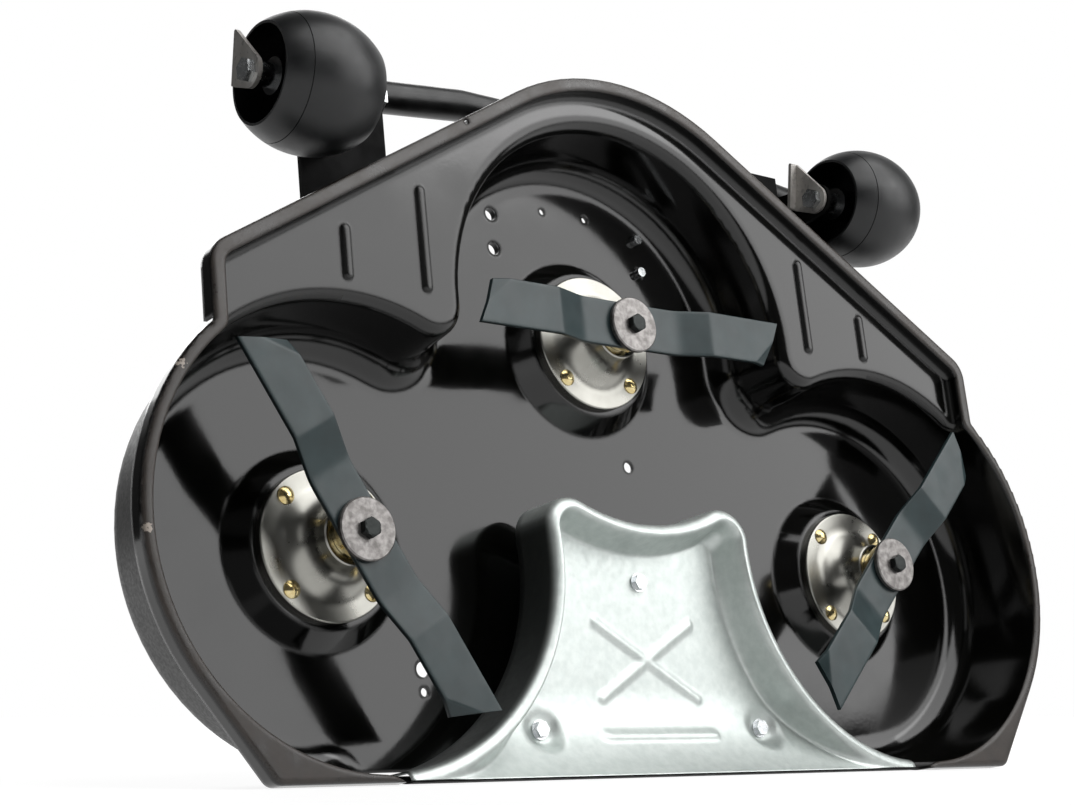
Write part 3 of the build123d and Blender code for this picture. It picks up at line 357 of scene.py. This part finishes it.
def gloss_paint(paint):
    """Stoved gloss black paint on pressed steel: mirrors on the plate, dull outside and on the rubbed lip."""
    material, tree, shader, coords = new_material("stoved_gloss_black")
    # the lip is rubbed from 3 mm of depth outwards, in patches about 30 mm across
    depth = deck_socket(tree, coords, "depth")
    lip = add_node(tree, "ShaderNodeMapRange", {"Value": depth, "From Min": 0.0030, "From Max": 0.0008})
    patches = noise_range(tree, coords, 30, 0.55, 1.0)
    rubbed = {0: lip.outputs["Result"], 1: patches}
    rubbed = add_node(tree, "ShaderNodeMath", rubbed, operation="MULTIPLY").outputs[0]
    colour = {"Factor": rubbed, "A": linear(paint.gloss), "B": linear(paint.lip)}
    colour = add_node(tree, "ShaderNodeMix", colour, data_type="RGBA").outputs["Result"]
    # two chips through to the steel on the left edge, made ragged by noise of about 4 mm
    ragged = noise_range(tree, coords, 4, -0.6, 0.6)
    for u, v in CHIPS:
        spot = place(u, v, 0.002).tolist()
        away = add_node(tree, "ShaderNodeVectorMath", {0: coords, 1: spot}, operation="DISTANCE")
        border = {0: away.outputs["Value"], 1: 1 / paint.chip, 2: ragged}
        border = add_node(tree, "ShaderNodeMath", border, operation="MULTIPLY_ADD").outputs[0]
        bare = add_node(tree, "ShaderNodeMapRange", {"Value": border, "From Min": 1.1, "From Max": 0.9})
        colour = {"Factor": bare.outputs["Result"], "A": colour, "B": linear(paint.bare)}
        colour = add_node(tree, "ShaderNodeMix", colour, data_type="RGBA").outputs["Result"]
    # roughness in clouds of 60 mm where it is glossy and in grit of 3 mm where it is dull
    shine = noise_range(tree, coords, 60, 0.07, 0.13)
    grit = noise_range(tree, coords, 3, 0.36, 0.5)
    dull = {0: rubbed, 1: outside_walls(tree, coords)}
    dull = add_node(tree, "ShaderNodeMath", dull, operation="MAXIMUM").outputs[0]
    rough = add_node(tree, "ShaderNodeMix", {"Factor": dull, "A": shine, "B": grit}, data_type="FLOAT")
    # orange peel of about 4 mm, as coarse as it needs to show
    peel = add_node(tree, "ShaderNodeTexNoise", {"Vector": coords, "Scale": 1000.0 / 4, "Detail": 1.0})
    # pressed corners are rounder than the solid's: their shading is eased over 5 mm
    eased = add_node(tree, "ShaderNodeBevel", {"Radius": 0.005}, samples=6).outputs["Normal"]
    bump = {"Height": peel.outputs["Fac"], "Strength": 0.03, "Distance": 0.0004, "Normal": eased}
    bump = add_node(tree, "ShaderNodeBump", bump)
    tree.links.new(colour, shader.inputs["Base Color"])
    tree.links.new(rough.outputs["Result"], shader.inputs["Roughness"])
    tree.links.new(bump.outputs["Normal"], shader.inputs["Normal"])
    shader.inputs["IOR"].default_value = 1.52
    return material


def plain_finish(name, colours, metallic, rough, grain_mm, bump_mm, bump, specular=0.5):
    """Two colours mottled by a grain, roughness that varies with a finer grain, and a fine bump."""
    material, tree, shader, coords = new_material(name)
    mottle = noise_range(tree, coords, grain_mm, 0.0, 1.0)
    first, second = (linear(code) for code in colours)
    colour = add_node(tree, "ShaderNodeMix", {"Factor": mottle, "A": first, "B": second}, data_type="RGBA")
    rough = noise_range(tree, coords, grain_mm * 0.6, *rough)
    grit = add_node(tree, "ShaderNodeTexNoise", {"Vector": coords, "Scale": 1000.0 / bump_mm, "Detail": 2.0})
    relief = {"Height": grit.outputs["Fac"], "Strength": bump, "Distance": 0.0005}
    relief = add_node(tree, "ShaderNodeBump", relief)
    tree.links.new(colour.outputs["Result"], shader.inputs["Base Color"])
    tree.links.new(rough, shader.inputs["Roughness"])
    tree.links.new(relief.outputs["Normal"], shader.inputs["Normal"])
    shader.inputs["Metallic"].default_value = metallic
    shader.inputs["Specular IOR Level"].default_value = specular
    return material


def paint_skirt_shade(material, plug):
    """Darken the plug's outer wall up to the middle of its bead: painted shade, standing in for the dark
    chamber that the wall reflects.
    """
    tree = material.node_tree
    shader = tree.nodes["Principled BSDF"]
    coords = add_node(tree, "ShaderNodeTexCoord").outputs["Object"]
    away = from_side_spindle(tree, coords)[2]
    clear = plug.reach + 0.45 * plug.bead
    # painted shade: none from the middle of the bead outwards, most at the skirt
    skirt_shade = {"Value": away, "From Min": clear, "From Max": plug.reach, "To Max": 0.85}
    skirt_shade = add_node(tree, "ShaderNodeMapRange", skirt_shade).outputs["Result"]
    unshaded = shader.inputs["Base Color"].links[0].from_socket
    colour = {"Factor": skirt_shade, "A": unshaded, "B": linear(plug.skirt_shade)}
    colour = add_node(tree, "ShaderNodeMix", colour, data_type="RGBA").outputs["Result"]
    tree.links.new(colour, shader.inputs["Base Color"])


# Pieces


class DECK_OT_shell(bpy.types.Operator):
    """Paint the pressed shell and the frame behind it"""

    bl_idname = "deck.paint_shell"
    bl_label = "Paint shell and frame"

    def execute(self, context):
        paint = context.scene.deck_paint
        dress(gloss_paint(paint), "deck_shell")
        # satin black frame enamel over welded tube: a broad soft highlight
        enamel = plain_finish(
            "satin_frame_enamel",
            (paint.frame_black, "#0E0E0F"),
            metallic=0.0,
            rough=(0.28, 0.4),
            grain_mm=40,
            bump_mm=2.5,
            bump=0.05,
        )
        dress(enamel, "front_tube", "idler_post", *named("frame_", "rear_lug"))
        # flat black dip on the roller brackets: hardly any shine
        flat = plain_finish(
            "flat_black_dip",
            ("#050505", "#080808"),
            metallic=0.0,
            rough=(0.6, 0.75),
            grain_mm=30,
            bump_mm=2.0,
            bump=0.08,
            specular=0.12,
        )
        dress(flat, *named("roller_bracket"))
        return {"FINISHED"}


class DECK_OT_spindles(bpy.types.Operator):
    """Finish the bearings, collars, washers, screws and nuts"""

    bl_idname = "deck.finish_spindles"
    bl_label = "Finish spindles"

    def execute(self, context):
        # yellow-passivated zinc on screws and collars: bright with a straw tint
        straw = plain_finish(
            "yellow_passivated_zinc",
            ("#E6D6A6", "#D6BE82"),
            metallic=0.85,
            rough=(0.16, 0.24),
            grain_mm=8,
            bump_mm=0.8,
            bump=0.01,
        )
        dress(straw, "housing_screws", *named("blade_collar"))
        # heat-stained steel washers: pale warm grey with darker blotches
        darkened = plain_finish(
            "stained_steel",
            ("#918E8C", "#6C6967"),
            metallic=0.9,
            rough=(0.36, 0.5),
            grain_mm=6,
            bump_mm=1.0,
            bump=0.05,
        )
        dress(darkened, *named("blade_washer"))
        # bright zinc on nuts, plug screws and axle hardware: shiny, with a faint mottle
        zinc = plain_finish(
            "bright_zinc",
            ("#D8DADB", "#C6CACC"),
            metallic=1.0,
            rough=(0.18, 0.28),
            grain_mm=7,
            bump_mm=1.0,
            bump=0.02,
        )
        dress(zinc, "housing_nuts", "plug_screws", "plug_nuts", "plug_posts", "foot_bolts", "idler_nut")
        dress(zinc, "axle_bolts", "axle_nuts", "roller_sleeves", *named("spindle_nut"))
        # dull zinc on the stamped roller plates: grey with a warm cast and a fine grain
        dull = plain_finish(
            "dull_zinc_plate",
            ("#CBC7C2", "#B4B0AB"),
            metallic=0.2,
            rough=(0.26, 0.38),
            grain_mm=12,
            bump_mm=1.0,
            bump=0.03,
        )
        dress(dull, *named("roller_plates"))
        # ground bearing steel on shafts and bearings: smooth and cool grey
        ground = plain_finish(
            "ground_steel",
            ("#B9BBBD", "#A4A7AA"),
            metallic=1.0,
            rough=(0.14, 0.22),
            grain_mm=10,
            bump_mm=0.6,
            bump=0.02,
        )
        dress(ground, *named("spindle_shaft", "lower_bearing", "upper_bearing"))
        return {"FINISHED"}


def lathe(profile, u, v):
    """Closed ring turned about a spindle's axis from a closed profile of radius and depth."""
    radius, depth = np.array(profile, dtype=float).T
    turn = np.linspace(0, 2 * math.pi, LATHE_STEPS, endpoint=False)[:, None]
    points = place(u + radius * np.cos(turn), v + radius * np.sin(turn), depth)
    # the last row of faces runs back to the first ring, and there are no caps
    faces = np.array(loop_faces(LATHE_STEPS + 1, len(profile))[:-2]) % (LATHE_STEPS * len(profile))
    return points.reshape(-1, 3), faces.tolist()


def housing_profile(housing):
    """Section of a spindle housing: flat flange, a quarter ellipse up to the neck, and the barrel behind."""
    edge_round, nose_chamfer, bearing_width, flare_share = 0.0018, 0.0012, 0.015, 0.8
    face, nose, tail = housing.face_depth, housing.nose_depth, housing.tail_depth
    bore, pocket, neck, barrel = housing.bore, housing.pocket, housing.neck, housing.barrel
    back = face + housing.flange_thickness
    turn = np.linspace(0, math.pi / 2, 20)
    flare_r = housing.flare + (neck - housing.flare) * np.sin(turn)
    flare_d = face - flare_share * (face - nose) * (1 - np.cos(turn))
    round_r = housing.flange - edge_round * (1 - np.cos(turn))
    round_d = face + edge_round * (1 - np.sin(turn))
    front_seat, rear_seat = nose + bearing_width, tail - bearing_width
    inner = [(pocket, nose), (pocket, front_seat), (bore, front_seat), (bore, rear_seat)]
    outer = [(pocket, rear_seat), (pocket, tail), (barrel, tail), (barrel, back)]
    rim = [(housing.flange, back), *zip(round_r, round_d)]
    flare = [*zip(flare_r, flare_d), (neck, nose + nose_chamfer), (neck - nose_chamfer, nose)]
    return inner + outer + rim + flare


class DECK_OT_housings(bpy.types.Operator):
    """Make the spindle housings with their flared necks"""

    bl_idname = "deck.make_housings"
    bl_label = "Make spindle housings"

    def execute(self, context):
        # turned zinc-coated castings: silvery satin with faint grey clouds and a fine grain
        casting = plain_finish(
            "turned_zinc_casting",
            ("#A2A19B", "#979690"),
            metallic=1.0,
            rough=(0.27, 0.31),
            grain_mm=35,
            bump_mm=1.2,
            bump=0.012,
        )
        profile = housing_profile(context.scene.deck_housing)
        for side in SIDES:
            points, faces = lathe(profile, *SPINDLES[side])
            node = f"spindle_housing_{side}"
            finish_piece(f"flared_housing_{side}", points, faces, casting, "deck", "casting", node)
        return {"FINISHED"}


def blade_ring(blade):
    """Section of a blade, as across and rise: a rounded rectangle with extra points on its wide faces."""
    radius, quarter, filled = 0.0011, 4, 13
    half_width, half_height = blade.width / 2 - radius, blade.thickness / 2 - radius
    corner = np.linspace(0, math.pi / 2, quarter)
    turns = np.concatenate([corner + k * math.pi / 2 for k in range(4)])
    across = half_width * np.repeat([1, -1, -1, 1], quarter) + radius * np.cos(turns)
    rise = half_height * np.repeat([1, 1, -1, -1], quarter) + radius * np.sin(turns)
    ring = np.stack([across, rise], axis=-1)
    fill = np.linspace(-0.9, 0.9, filled) * half_width
    top = np.stack([fill[::-1], np.full(filled, blade.thickness / 2)], axis=-1)
    low = np.stack([fill, np.full(filled, -blade.thickness / 2)], axis=-1)
    return np.concatenate([ring[:quarter], top, ring[quarter : 3 * quarter], low, ring[3 * quarter :]])


def blade_points(blade, u, v, turn):
    """Closed blade surface.

    A rounded rectangle (width by thickness) is carried along the bar. Its depth falls along a slope between
    the hub and each wing, the difference of two softened ramps. The ends are cut on a slant, and the short
    corner of each tip bends back past a diagonal line.
    """
    rows = 301
    # the diagonal line's direction, its place at the tip, and the slope of the bend past it
    normal_x, normal_y = 0.66, 0.75
    setback, aside, offset = 0.034, 0.006, 0.010
    bend = 0.55
    ring = blade_ring(blade)
    half = blade.length / 2
    s = np.linspace(-1, 1, rows)[:, None]
    sign = np.sign(s)
    y, h = ring[None, :, 0], ring[None, :, 1]
    x = s * (half - blade.slant * (0.5 - sign * y / blade.width))
    # the step is a straight slope with a soft bend at the hub and a crisp one at the wing
    soft = np.logaddexp(0, (np.abs(x) - blade.step_start) / blade.hub_bend) * blade.hub_bend
    crisp = np.logaddexp(0, (np.abs(x) - blade.step_end) / blade.wing_bend) * blade.wing_bend
    step = (soft - crisp) / (blade.step_end - blade.step_start)
    middle = blade.hub_depth + blade.thickness / 2 - blade.drop * step
    past = (np.abs(x) - half + setback) * normal_x - (sign * y + aside) * normal_y - offset
    depth = middle + h + bend * np.clip(past, 0, None)
    angle = math.radians(turn)
    pu = u + x * math.cos(angle) - y * math.sin(angle)
    pv = v + x * math.sin(angle) + y * math.cos(angle)
    return place(pu, pv, depth).reshape(-1, 3), loop_faces(rows, ring.shape[0])


class DECK_OT_blades(bpy.types.Operator):
    """Make the pressed blades with stepped wings and slanted tips"""

    bl_idname = "deck.make_blades"
    bl_label = "Make blades"

    def execute(self, context):
        blade = context.scene.deck_blade
        # dip-painted spring steel: satin grey-green with faint clouds
        paint = plain_finish(
            "dipped_blade_paint",
            (blade.colour, "#304042"),
            metallic=0.0,
            rough=(0.3, 0.38),
            grain_mm=30,
            bump_mm=1.4,
            bump=0.05,
            specular=0.42,
        )
        for side in SIDES:
            points, faces = blade_points(blade, *SPINDLES[side], BLADE_TURNS[side])
            body, node = f"{side}_spindle", f"blade_{side}"
            finish_piece(f"pressed_blade_{side}", points, faces, paint, body, "blade_paint", node)
        return {"FINISHED"}


def bolt_head_points(bolt, u, v):
    """Hexagon head: at each height the smaller of the hexagon and a cone that chamfers its corners."""
    chamfer_share, chamfer_slope = 0.94, math.tan(math.radians(60))
    turn = np.linspace(0, 2 * math.pi, 72, endpoint=False)[None, :]
    half = bolt.flats / 2
    hexagon = half / np.cos((turn + math.pi / 6) % (math.pi / 3) - math.pi / 6)
    height = np.linspace(0, bolt.height, 12)[:, None]
    cone = chamfer_share * half + (bolt.height - height) * chamfer_slope
    radius = np.minimum(hexagon, cone)
    # two more rings on the flat top
    radius = np.concatenate([radius, np.array([0.8, 0.4])[:, None] * radius[-1:]])
    height = np.concatenate([height, np.full((2, 1), bolt.height)])
    points = place(u + radius * np.cos(turn), v + radius * np.sin(turn), bolt.seat - height)
    return points.reshape(-1, 3), loop_faces(len(height), turn.size)


class DECK_OT_bolts(bpy.types.Operator):
    """Make the hexagon bolts that hold the blades"""

    bl_idname = "deck.make_bolts"
    bl_label = "Make blade bolts"

    def execute(self, context):
        # black oxide on forged steel: dark, faintly mottled, with a soft shine
        oxide = plain_finish(
            "black_oxide",
            ("#1B1F1E", "#262A29"),
            metallic=0.6,
            rough=(0.32, 0.45),
            grain_mm=4,
            bump_mm=0.8,
            bump=0.04,
        )
        for side in SIDES:
            points, faces = bolt_head_points(context.scene.deck_bolt, *SPINDLES[side])
            body, node = f"{side}_spindle", f"blade_bolt_{side}"
            finish_piece(f"hex_bolt_{side}", points, faces, oxide, body, "black_oxide", node)
        return {"FINISHED"}


def bar_rise(u, v, ends, width, height):
    """Raised rib along a line between two ends: a cosine hump of the distance from the line."""
    (u0, v0), (u1, v1) = ends
    run = (u1 - u0) ** 2 + (v1 - v0) ** 2
    along = np.clip(((u - u0) * (u1 - u0) + (v - v0) * (v1 - v0)) / run, 0, 1)
    away = np.hypot(u - u0 - along * (u1 - u0), v - v0 - along * (v1 - v0))
    return height * (0.5 + 0.5 * np.cos(math.pi * np.clip(away / width, 0, 1)))


def plug_floor(plug, u, v):
    """Depth of the tray: level, then a ramp up to the rear edge, less its pressed ribs."""
    ramp_length, ramp_power = 0.085, 2.2
    rise = (plug.tray - plug.crest) * np.clip(1 - v / ramp_length, 0, 1) ** ramp_power
    ribs = np.max([bar_rise(u, v, *rib) for rib in PLUG_RIBS], axis=0)
    return plug.tray - rise - ribs


def plug_depth(plug, u, v, share):
    """Depth between the crest plane and the tray by a share, sunk to the tray's level round each screw."""
    crest_slope, well_radius, well_wall = 0.05, 0.024, 0.013
    crest = plug.crest + crest_slope * v
    depth = crest + (np.maximum(plug_floor(plug, u, v), crest) - crest) * share
    for screw_u, screw_v in PLUG_SCREWS:
        near = np.clip((well_radius - np.hypot(u - screw_u, v - screw_v)) / well_wall, 0, 1)
        depth = depth + (plug.tray - depth) * smooth(near)
    return depth


def plug_profile(plug):
    """Inset, drop and share across the strip: skirt, quarter circle to the crest, step down, floor border."""
    wall = np.linspace(plug.skirt, plug.bead, 6)[:-1]
    turn = np.linspace(0, math.pi / 2, 12)
    inner = np.linspace(0, 1, 22)[1:]
    level = np.linspace(0, plug.margin, 8)[1:]
    step = plug.bead + (plug.rim - plug.bead) * inner
    inset = [0 * wall, plug.bead * (1 - np.cos(turn)), step, plug.rim + level]
    drop = [wall, plug.bead * (1 - np.sin(turn)), 0 * inner, 0 * level]
    share = [0 * wall, 0 * turn, smooth(inner), 1 + 0 * level]
    return [np.concatenate(column)[:, None] for column in (inset, drop, share)]


def arc_points(u, v, radius, begin, end, count):
    """Points along arcs about a centre, one row per radius, between two angles."""
    swing = begin + (end - begin) * np.linspace(0, 1, count)
    return u + radius * np.cos(swing), v + radius * np.sin(swing)


def plug_outline(plug, inset, drop):
    """Left arc, left horn and front arc of the bell, a row per inset, which adds its width to the arcs.

    The arcs run about the spindles' axes, and a horn is the circle that touches the left and the front arc.
    """
    tray_corner, rear_gap, rear_draft, mouth_margin = 0.012, 0.002, math.tan(math.radians(12)), 0.021
    (side_u, side_v), (_, front_v) = SPINDLES["left"], SPINDLES["front"]
    arc, front_arc = plug.reach + inset, plug.saddle + inset
    # horn radius: shrinks with the inset, is held round the tray's corner and closes to a point on the floor
    corner = np.clip((plug.rim + plug.margin - inset) / plug.margin, 0, 1) * tray_corner
    horn = np.where(inset > plug.rim, corner, np.maximum(plug.horn - inset, tray_corner))
    # horn's centre, measured along and off the line between the arcs' centres
    span = math.hypot(side_u, front_v - side_v)
    along = (span**2 + (arc + horn) ** 2 - (front_arc + horn) ** 2) / (2 * span)
    off = np.sqrt((arc + horn) ** 2 - along**2)
    horn_u = side_u + (-along * side_u + off * (front_v - side_v)) / span
    horn_v = side_v + (along * (front_v - side_v) + off * side_u) / span
    # left arc from the rear edge, or from the mouth's side, to the horn
    rear_v = rear_gap + rear_draft * drop
    rear = np.arcsin(np.clip((rear_v - side_v) / arc, -1, 1))
    rear = np.maximum(rear, -np.arccos(mouth_margin / arc))
    meet = np.arctan2(horn_v - side_v, horn_u - side_u)
    left = arc_points(side_u, side_v, arc, rear, meet, SIDE_STEPS)
    # horn, turning clockwise from the left arc to the front arc
    begin = np.arctan2(side_v - horn_v, side_u - horn_u) % (2 * math.pi)
    end = np.arctan2(front_v - horn_v, -horn_u)
    tip = arc_points(horn_u, horn_v, horn, begin, end, HORN_STEPS)
    # front arc between the horns
    begin = np.arctan2(horn_v - front_v, horn_u)
    front = arc_points(0.0, front_v, front_arc, begin, -math.pi - begin, FRONT_STEPS)
    return left, tip, front


def plug_points(plug):
    """Pressed plug as a strip round the bell outline and a patch for the tray floor.

    Across the strip runs a profile: the skirt, a quarter circle up to the crest, then a smooth step down to
    the floor. The floor blends its four boundary curves (a Coons patch).
    """
    inset, drop, share = plug_profile(plug)
    a = np.linspace(0, 1, SIDE_STEPS)[:, None]
    b = np.linspace(0, 1, FRONT_STEPS)[None, :]
    edges, grids = [], []
    # u changes its sign on the right half, and v doesn't
    for (left, tip, front), sign in zip(zip(*plug_outline(plug, inset, drop)), (-1, 1)):
        right_half = [sign * tip[:, ::-1], sign * left[:, ::-1]]
        edges.append(np.concatenate([left, tip, front, *right_half], axis=1))
        start = left[-1][:, None]
        end = sign * start
        chord = start[-1] + (end[-1] - start[-1]) * b
        grids.append((1 - b) * start + b * end + a * (front[-1] - chord))
    strip = place(*edges, plug_depth(plug, *edges, share) + drop)
    floor = place(*grids, plug_depth(plug, *grids, 1.0))
    return np.concatenate([strip.reshape(-1, 3), floor.reshape(-1, 3)]), sheet_faces(strip, floor)


def shade_wedge_points(plug):
    """Black wedge under the plug, painted shade that fills the gap over the floor: one section, carried
    across the mouth.
    """
    depth, v = np.array(WEDGE_SECTION).T
    u = np.linspace(-plug.mouth, plug.mouth, WEDGE_STEPS)[:, None]
    return place(u, v, depth).reshape(-1, 3), loop_faces(WEDGE_STEPS, len(WEDGE_SECTION))


class DECK_OT_plug(bpy.types.Operator):
    """Make the pressed mulching plug and the black wedge of painted shade under it"""

    bl_idname = "deck.make_plug"
    bl_label = "Make mulching plug"

    def execute(self, context):
        plug = context.scene.deck_plug
        # hot-dip galvanised sheet: pale and satin, with faint spangle clouds
        zinc = plain_finish(
            "galvanised_sheet",
            ("#D2D8D5", "#C7CECB"),
            metallic=0.76,
            rough=(0.42, 0.5),
            grain_mm=9,
            bump_mm=1.5,
            bump=0.02,
        )
        # painted shade: the outer wall is darkened towards the skirt
        paint_skirt_shade(zinc, plug)
        # painted shade: matte black on the wedge that fills the gap under the plug, with no shine to speak of
        black = plain_finish(
            "matte_edge_paint",
            ("#050505", "#080808"),
            metallic=0.0,
            rough=(0.6, 0.75),
            grain_mm=30,
            bump_mm=2.0,
            bump=0.05,
            specular=0.12,
        )
        # a dark sheet where there is only shade under the plug
        finish_piece("rear_edge", *shade_wedge_points(plug), black, "deck", "black_paint")
        points, faces = plug_points(plug)
        piece = finish_piece("pressed_plug", points, faces, zinc, "deck", "galvanised", "mulching_plug")
        # the sheet is open, so its pressed face is turned towards the viewer's side, which is -Y
        polygons = piece.data.polygons
        normals, areas = np.empty(3 * len(polygons), np.float32), np.empty(len(polygons), np.float32)
        polygons.foreach_get("normal", normals)
        polygons.foreach_get("area", areas)
        if normals[1::3] @ areas > 0:
            piece.data.flip_normals()
        # the sheet's thickness lies behind the face that the press shaped
        thick = piece.modifiers.new("sheet", "SOLIDIFY")
        thick.thickness = plug.sheet
        thick.offset = -1
        return {"FINISHED"}


class DECK_OT_rollers(bpy.types.Operator):
    """Finish the barrel rollers"""

    bl_idname = "deck.finish_rollers"
    bl_label = "Finish rollers"

    def execute(self, context):
        # moulded nylon: satin blue-black with a fine eroded texture
        nylon = plain_finish(
            "moulded_nylon",
            ("#090B0D", "#0C0E10"),
            metallic=0.0,
            rough=(0.36, 0.44),
            grain_mm=25,
            bump_mm=1.2,
            bump=0.03,
        )
        dress(nylon, "roller_left", "roller_right")
        return {"FINISHED"}


class DECK_OT_drive(bpy.types.Operator):
    """Finish the belt and the pulleys"""

    bl_idname = "deck.finish_drive"
    bl_label = "Finish belt drive"

    def execute(self, context):
        # wrapped rubber belt: matte, with a coarse grain
        rubber = plain_finish(
            "wrapped_belt_rubber",
            ("#1A1A1A", "#242322"),
            metallic=0.0,
            rough=(0.7, 0.85),
            grain_mm=5,
            bump_mm=1.0,
            bump=0.25,
        )
        dress(rubber, "drive_belt")
        # spun steel pulleys with a dull zinc coat: grey, with soft blotches
        spun = plain_finish(
            "spun_steel",
            ("#9FA2A3", "#8B8F91"),
            metallic=1.0,
            rough=(0.3, 0.42),
            grain_mm=12,
            bump_mm=1.2,
            bump=0.05,
        )
        dress(spun, "idler_pulley", *named("spindle_pulley"))
        return {"FINISHED"}


# Stage


def softbox(name, at, aim, width, height, power):
    """Rectangular area lamp at a point, turned to face another."""
    lamp = bpy.data.lights.new(name, "AREA")
    lamp.shape = "RECTANGLE"
    lamp.size = width
    lamp.size_y = height
    lamp.energy = power
    obj = bpy.data.objects.new(name, lamp)
    obj.location = at
    obj.rotation_euler = (Vector(aim) - Vector(at)).to_track_quat("-Z", "Y").to_euler()
    bpy.context.scene.collection.objects.link(obj)


def seen_directly(tree):
    """1 for camera, mirror and glass rays, which see the white surroundings as they are, and 0 for others."""
    path = add_node(tree, "ShaderNodeLightPath").outputs
    seen = path["Is Camera Ray"]
    for kind in ("Is Glossy Ray", "Is Transmission Ray"):
        seen = add_node(tree, "ShaderNodeMath", {0: seen, 1: path[kind]}, operation="MAXIMUM").outputs[0]
    return seen


def set_camera(scene, lens):
    """Camera at the photograph's angle."""
    view = bpy.data.cameras.new("photo_view")
    view.sensor_fit = "HORIZONTAL"
    view.sensor_width = 36.0
    view.lens = lens
    camera = bpy.data.objects.new("photo_view", view)
    camera.location = (CAMERA[0], DECK_Y + CAMERA[1], DECK_Z + CAMERA[2])
    camera.rotation_euler = Vector(VIEW).to_track_quat("-Z", "Y").to_euler()
    scene.collection.objects.link(camera)
    scene.camera = camera


def lay_floor(scene, near_glow):
    """White paper floor: its own glow is what the camera and mirrors see, and the shadow stays."""
    reach, fade_start, fade_end = 12.0, 0.9, 2.0
    corners = [(-reach, -reach, 0), (reach, -reach, 0), (reach, reach, 0), (-reach, reach, 0)]
    mesh = bpy.data.meshes.new("floor")
    mesh.from_pydata(corners, [], [(0, 1, 2, 3)])
    floor = bpy.data.objects.new("floor", mesh)
    scene.collection.objects.link(floor)
    paper, tree, shader, coords = new_material("white_paper")
    shader.inputs["Base Color"].default_value = linear("#6E6E6E")
    shader.inputs["Roughness"].default_value = 0.9
    shader.inputs["Emission Color"].default_value = linear("#FFFFFF")
    far = add_node(tree, "ShaderNodeVectorMath", {0: coords}, operation="LENGTH").outputs["Value"]
    level = {"Value": far, "From Min": fade_start, "From Max": fade_end, "To Min": near_glow}
    level = add_node(tree, "ShaderNodeMapRange", level).outputs["Result"]
    glow = add_node(tree, "ShaderNodeMath", {0: seen_directly(tree), 1: level}, operation="MULTIPLY")
    tree.links.new(glow.outputs[0], shader.inputs["Emission Strength"])
    mesh.materials.append(paper)


def light_world(scene, room, sky):
    """White all round for the camera; for mirrors, a white backdrop ahead of the camera in a dim studio."""
    start, full = 0.6, 0.88
    world = bpy.data.worlds.new("studio")
    world.use_nodes = True
    scene.world = world
    tree = world.node_tree
    tree.nodes.clear()
    heading = add_node(tree, "ShaderNodeTexCoord").outputs["Generated"]
    ahead = add_node(tree, "ShaderNodeVectorMath", {0: heading, 1: VIEW}, operation="DOT_PRODUCT")
    level = {"Value": ahead.outputs["Value"], "From Min": start, "From Max": full, "To Min": room}
    level = add_node(tree, "ShaderNodeMapRange", level).outputs["Result"]
    dimmed = add_node(tree, "ShaderNodeMath", {0: level, 1: sky}, operation="MULTIPLY").outputs[0]
    strength = {"Factor": seen_directly(tree), "A": dimmed, "B": level}
    strength = add_node(tree, "ShaderNodeMix", strength, data_type="FLOAT").outputs["Result"]
    camera_ray = add_node(tree, "ShaderNodeLightPath").outputs["Is Camera Ray"]
    strength = add_node(tree, "ShaderNodeMath", {0: strength, 1: camera_ray}, operation="MAXIMUM").outputs[0]
    glow = add_node(tree, "ShaderNodeBackground", {"Color": linear("#FFFFFF"), "Strength": strength})
    add_node(tree, "ShaderNodeOutputWorld", {"Surface": glow.outputs["Background"]})


class DECK_OT_stage(bpy.types.Operator):
    """Set up the camera, the floor and the soft light"""

    bl_idname = "deck.set_stage"
    bl_label = "Set stage"

    def execute(self, context):
        scene = context.scene
        stage = scene.deck_stage
        scene.view_settings.view_transform = "Standard"
        set_camera(scene, stage.lens)
        lay_floor(scene, stage.paper_glow)
        light_world(scene, stage.room, stage.sky)
        for name, (at, width, height) in LAMPS.items():
            softbox(f"{name}_softbox", at, LAMP_AIM, width, height, getattr(stage, name))
        return {"FINISHED"}


class DECK_PT_panel(bpy.types.Panel):
    """Buttons for each group of pieces"""

    bl_idname = "DECK_PT_panel"
    bl_label = "Mower deck"
    bl_space_type = "VIEW_3D"
    bl_region_type = "UI"
    bl_category = "Mower deck"

    def draw(self, context):
        for step in STEPS:
            self.layout.operator(step.bl_idname)
        for name, kind in GROUPS.items():
            column = self.layout.column()
            for key in kind.__annotations__:
                column.prop(getattr(context.scene, name), key)


GROUPS = {
    "deck_paint": DECK_PG_paint,
    "deck_housing": DECK_PG_housing,
    "deck_blade": DECK_PG_blade,
    "deck_bolt": DECK_PG_bolt,
    "deck_plug": DECK_PG_plug,
    "deck_stage": DECK_PG_stage,
}
STEPS = (
    DECK_OT_stage,
    DECK_OT_shell,
    DECK_OT_spindles,
    DECK_OT_housings,
    DECK_OT_blades,
    DECK_OT_bolts,
    DECK_OT_plug,
    DECK_OT_rollers,
    DECK_OT_drive,
)


def register():
    for group in GROUPS.values():
        bpy.utils.register_class(group)
    for step in (*STEPS, DECK_PT_panel):
        bpy.utils.register_class(step)
    for name, group in GROUPS.items():
        setattr(bpy.types.Scene, name, PointerProperty(type=group))


def unregister():
    for name in GROUPS:
        delattr(bpy.types.Scene, name)
    for step in (DECK_PT_panel, *reversed(STEPS)):
        bpy.utils.unregister_class(step)
    for group in reversed(GROUPS.values()):
        bpy.utils.unregister_class(group)


def main():
    register()
    bpy.ops.deck.set_stage()
    bpy.ops.deck.paint_shell()
    bpy.ops.deck.finish_spindles()
    bpy.ops.deck.make_housings()
    bpy.ops.deck.make_blades()
    bpy.ops.deck.make_bolts()
    bpy.ops.deck.make_plug()
    bpy.ops.deck.finish_rollers()
    bpy.ops.deck.finish_drive()


if __name__ == "__main__":
    main()
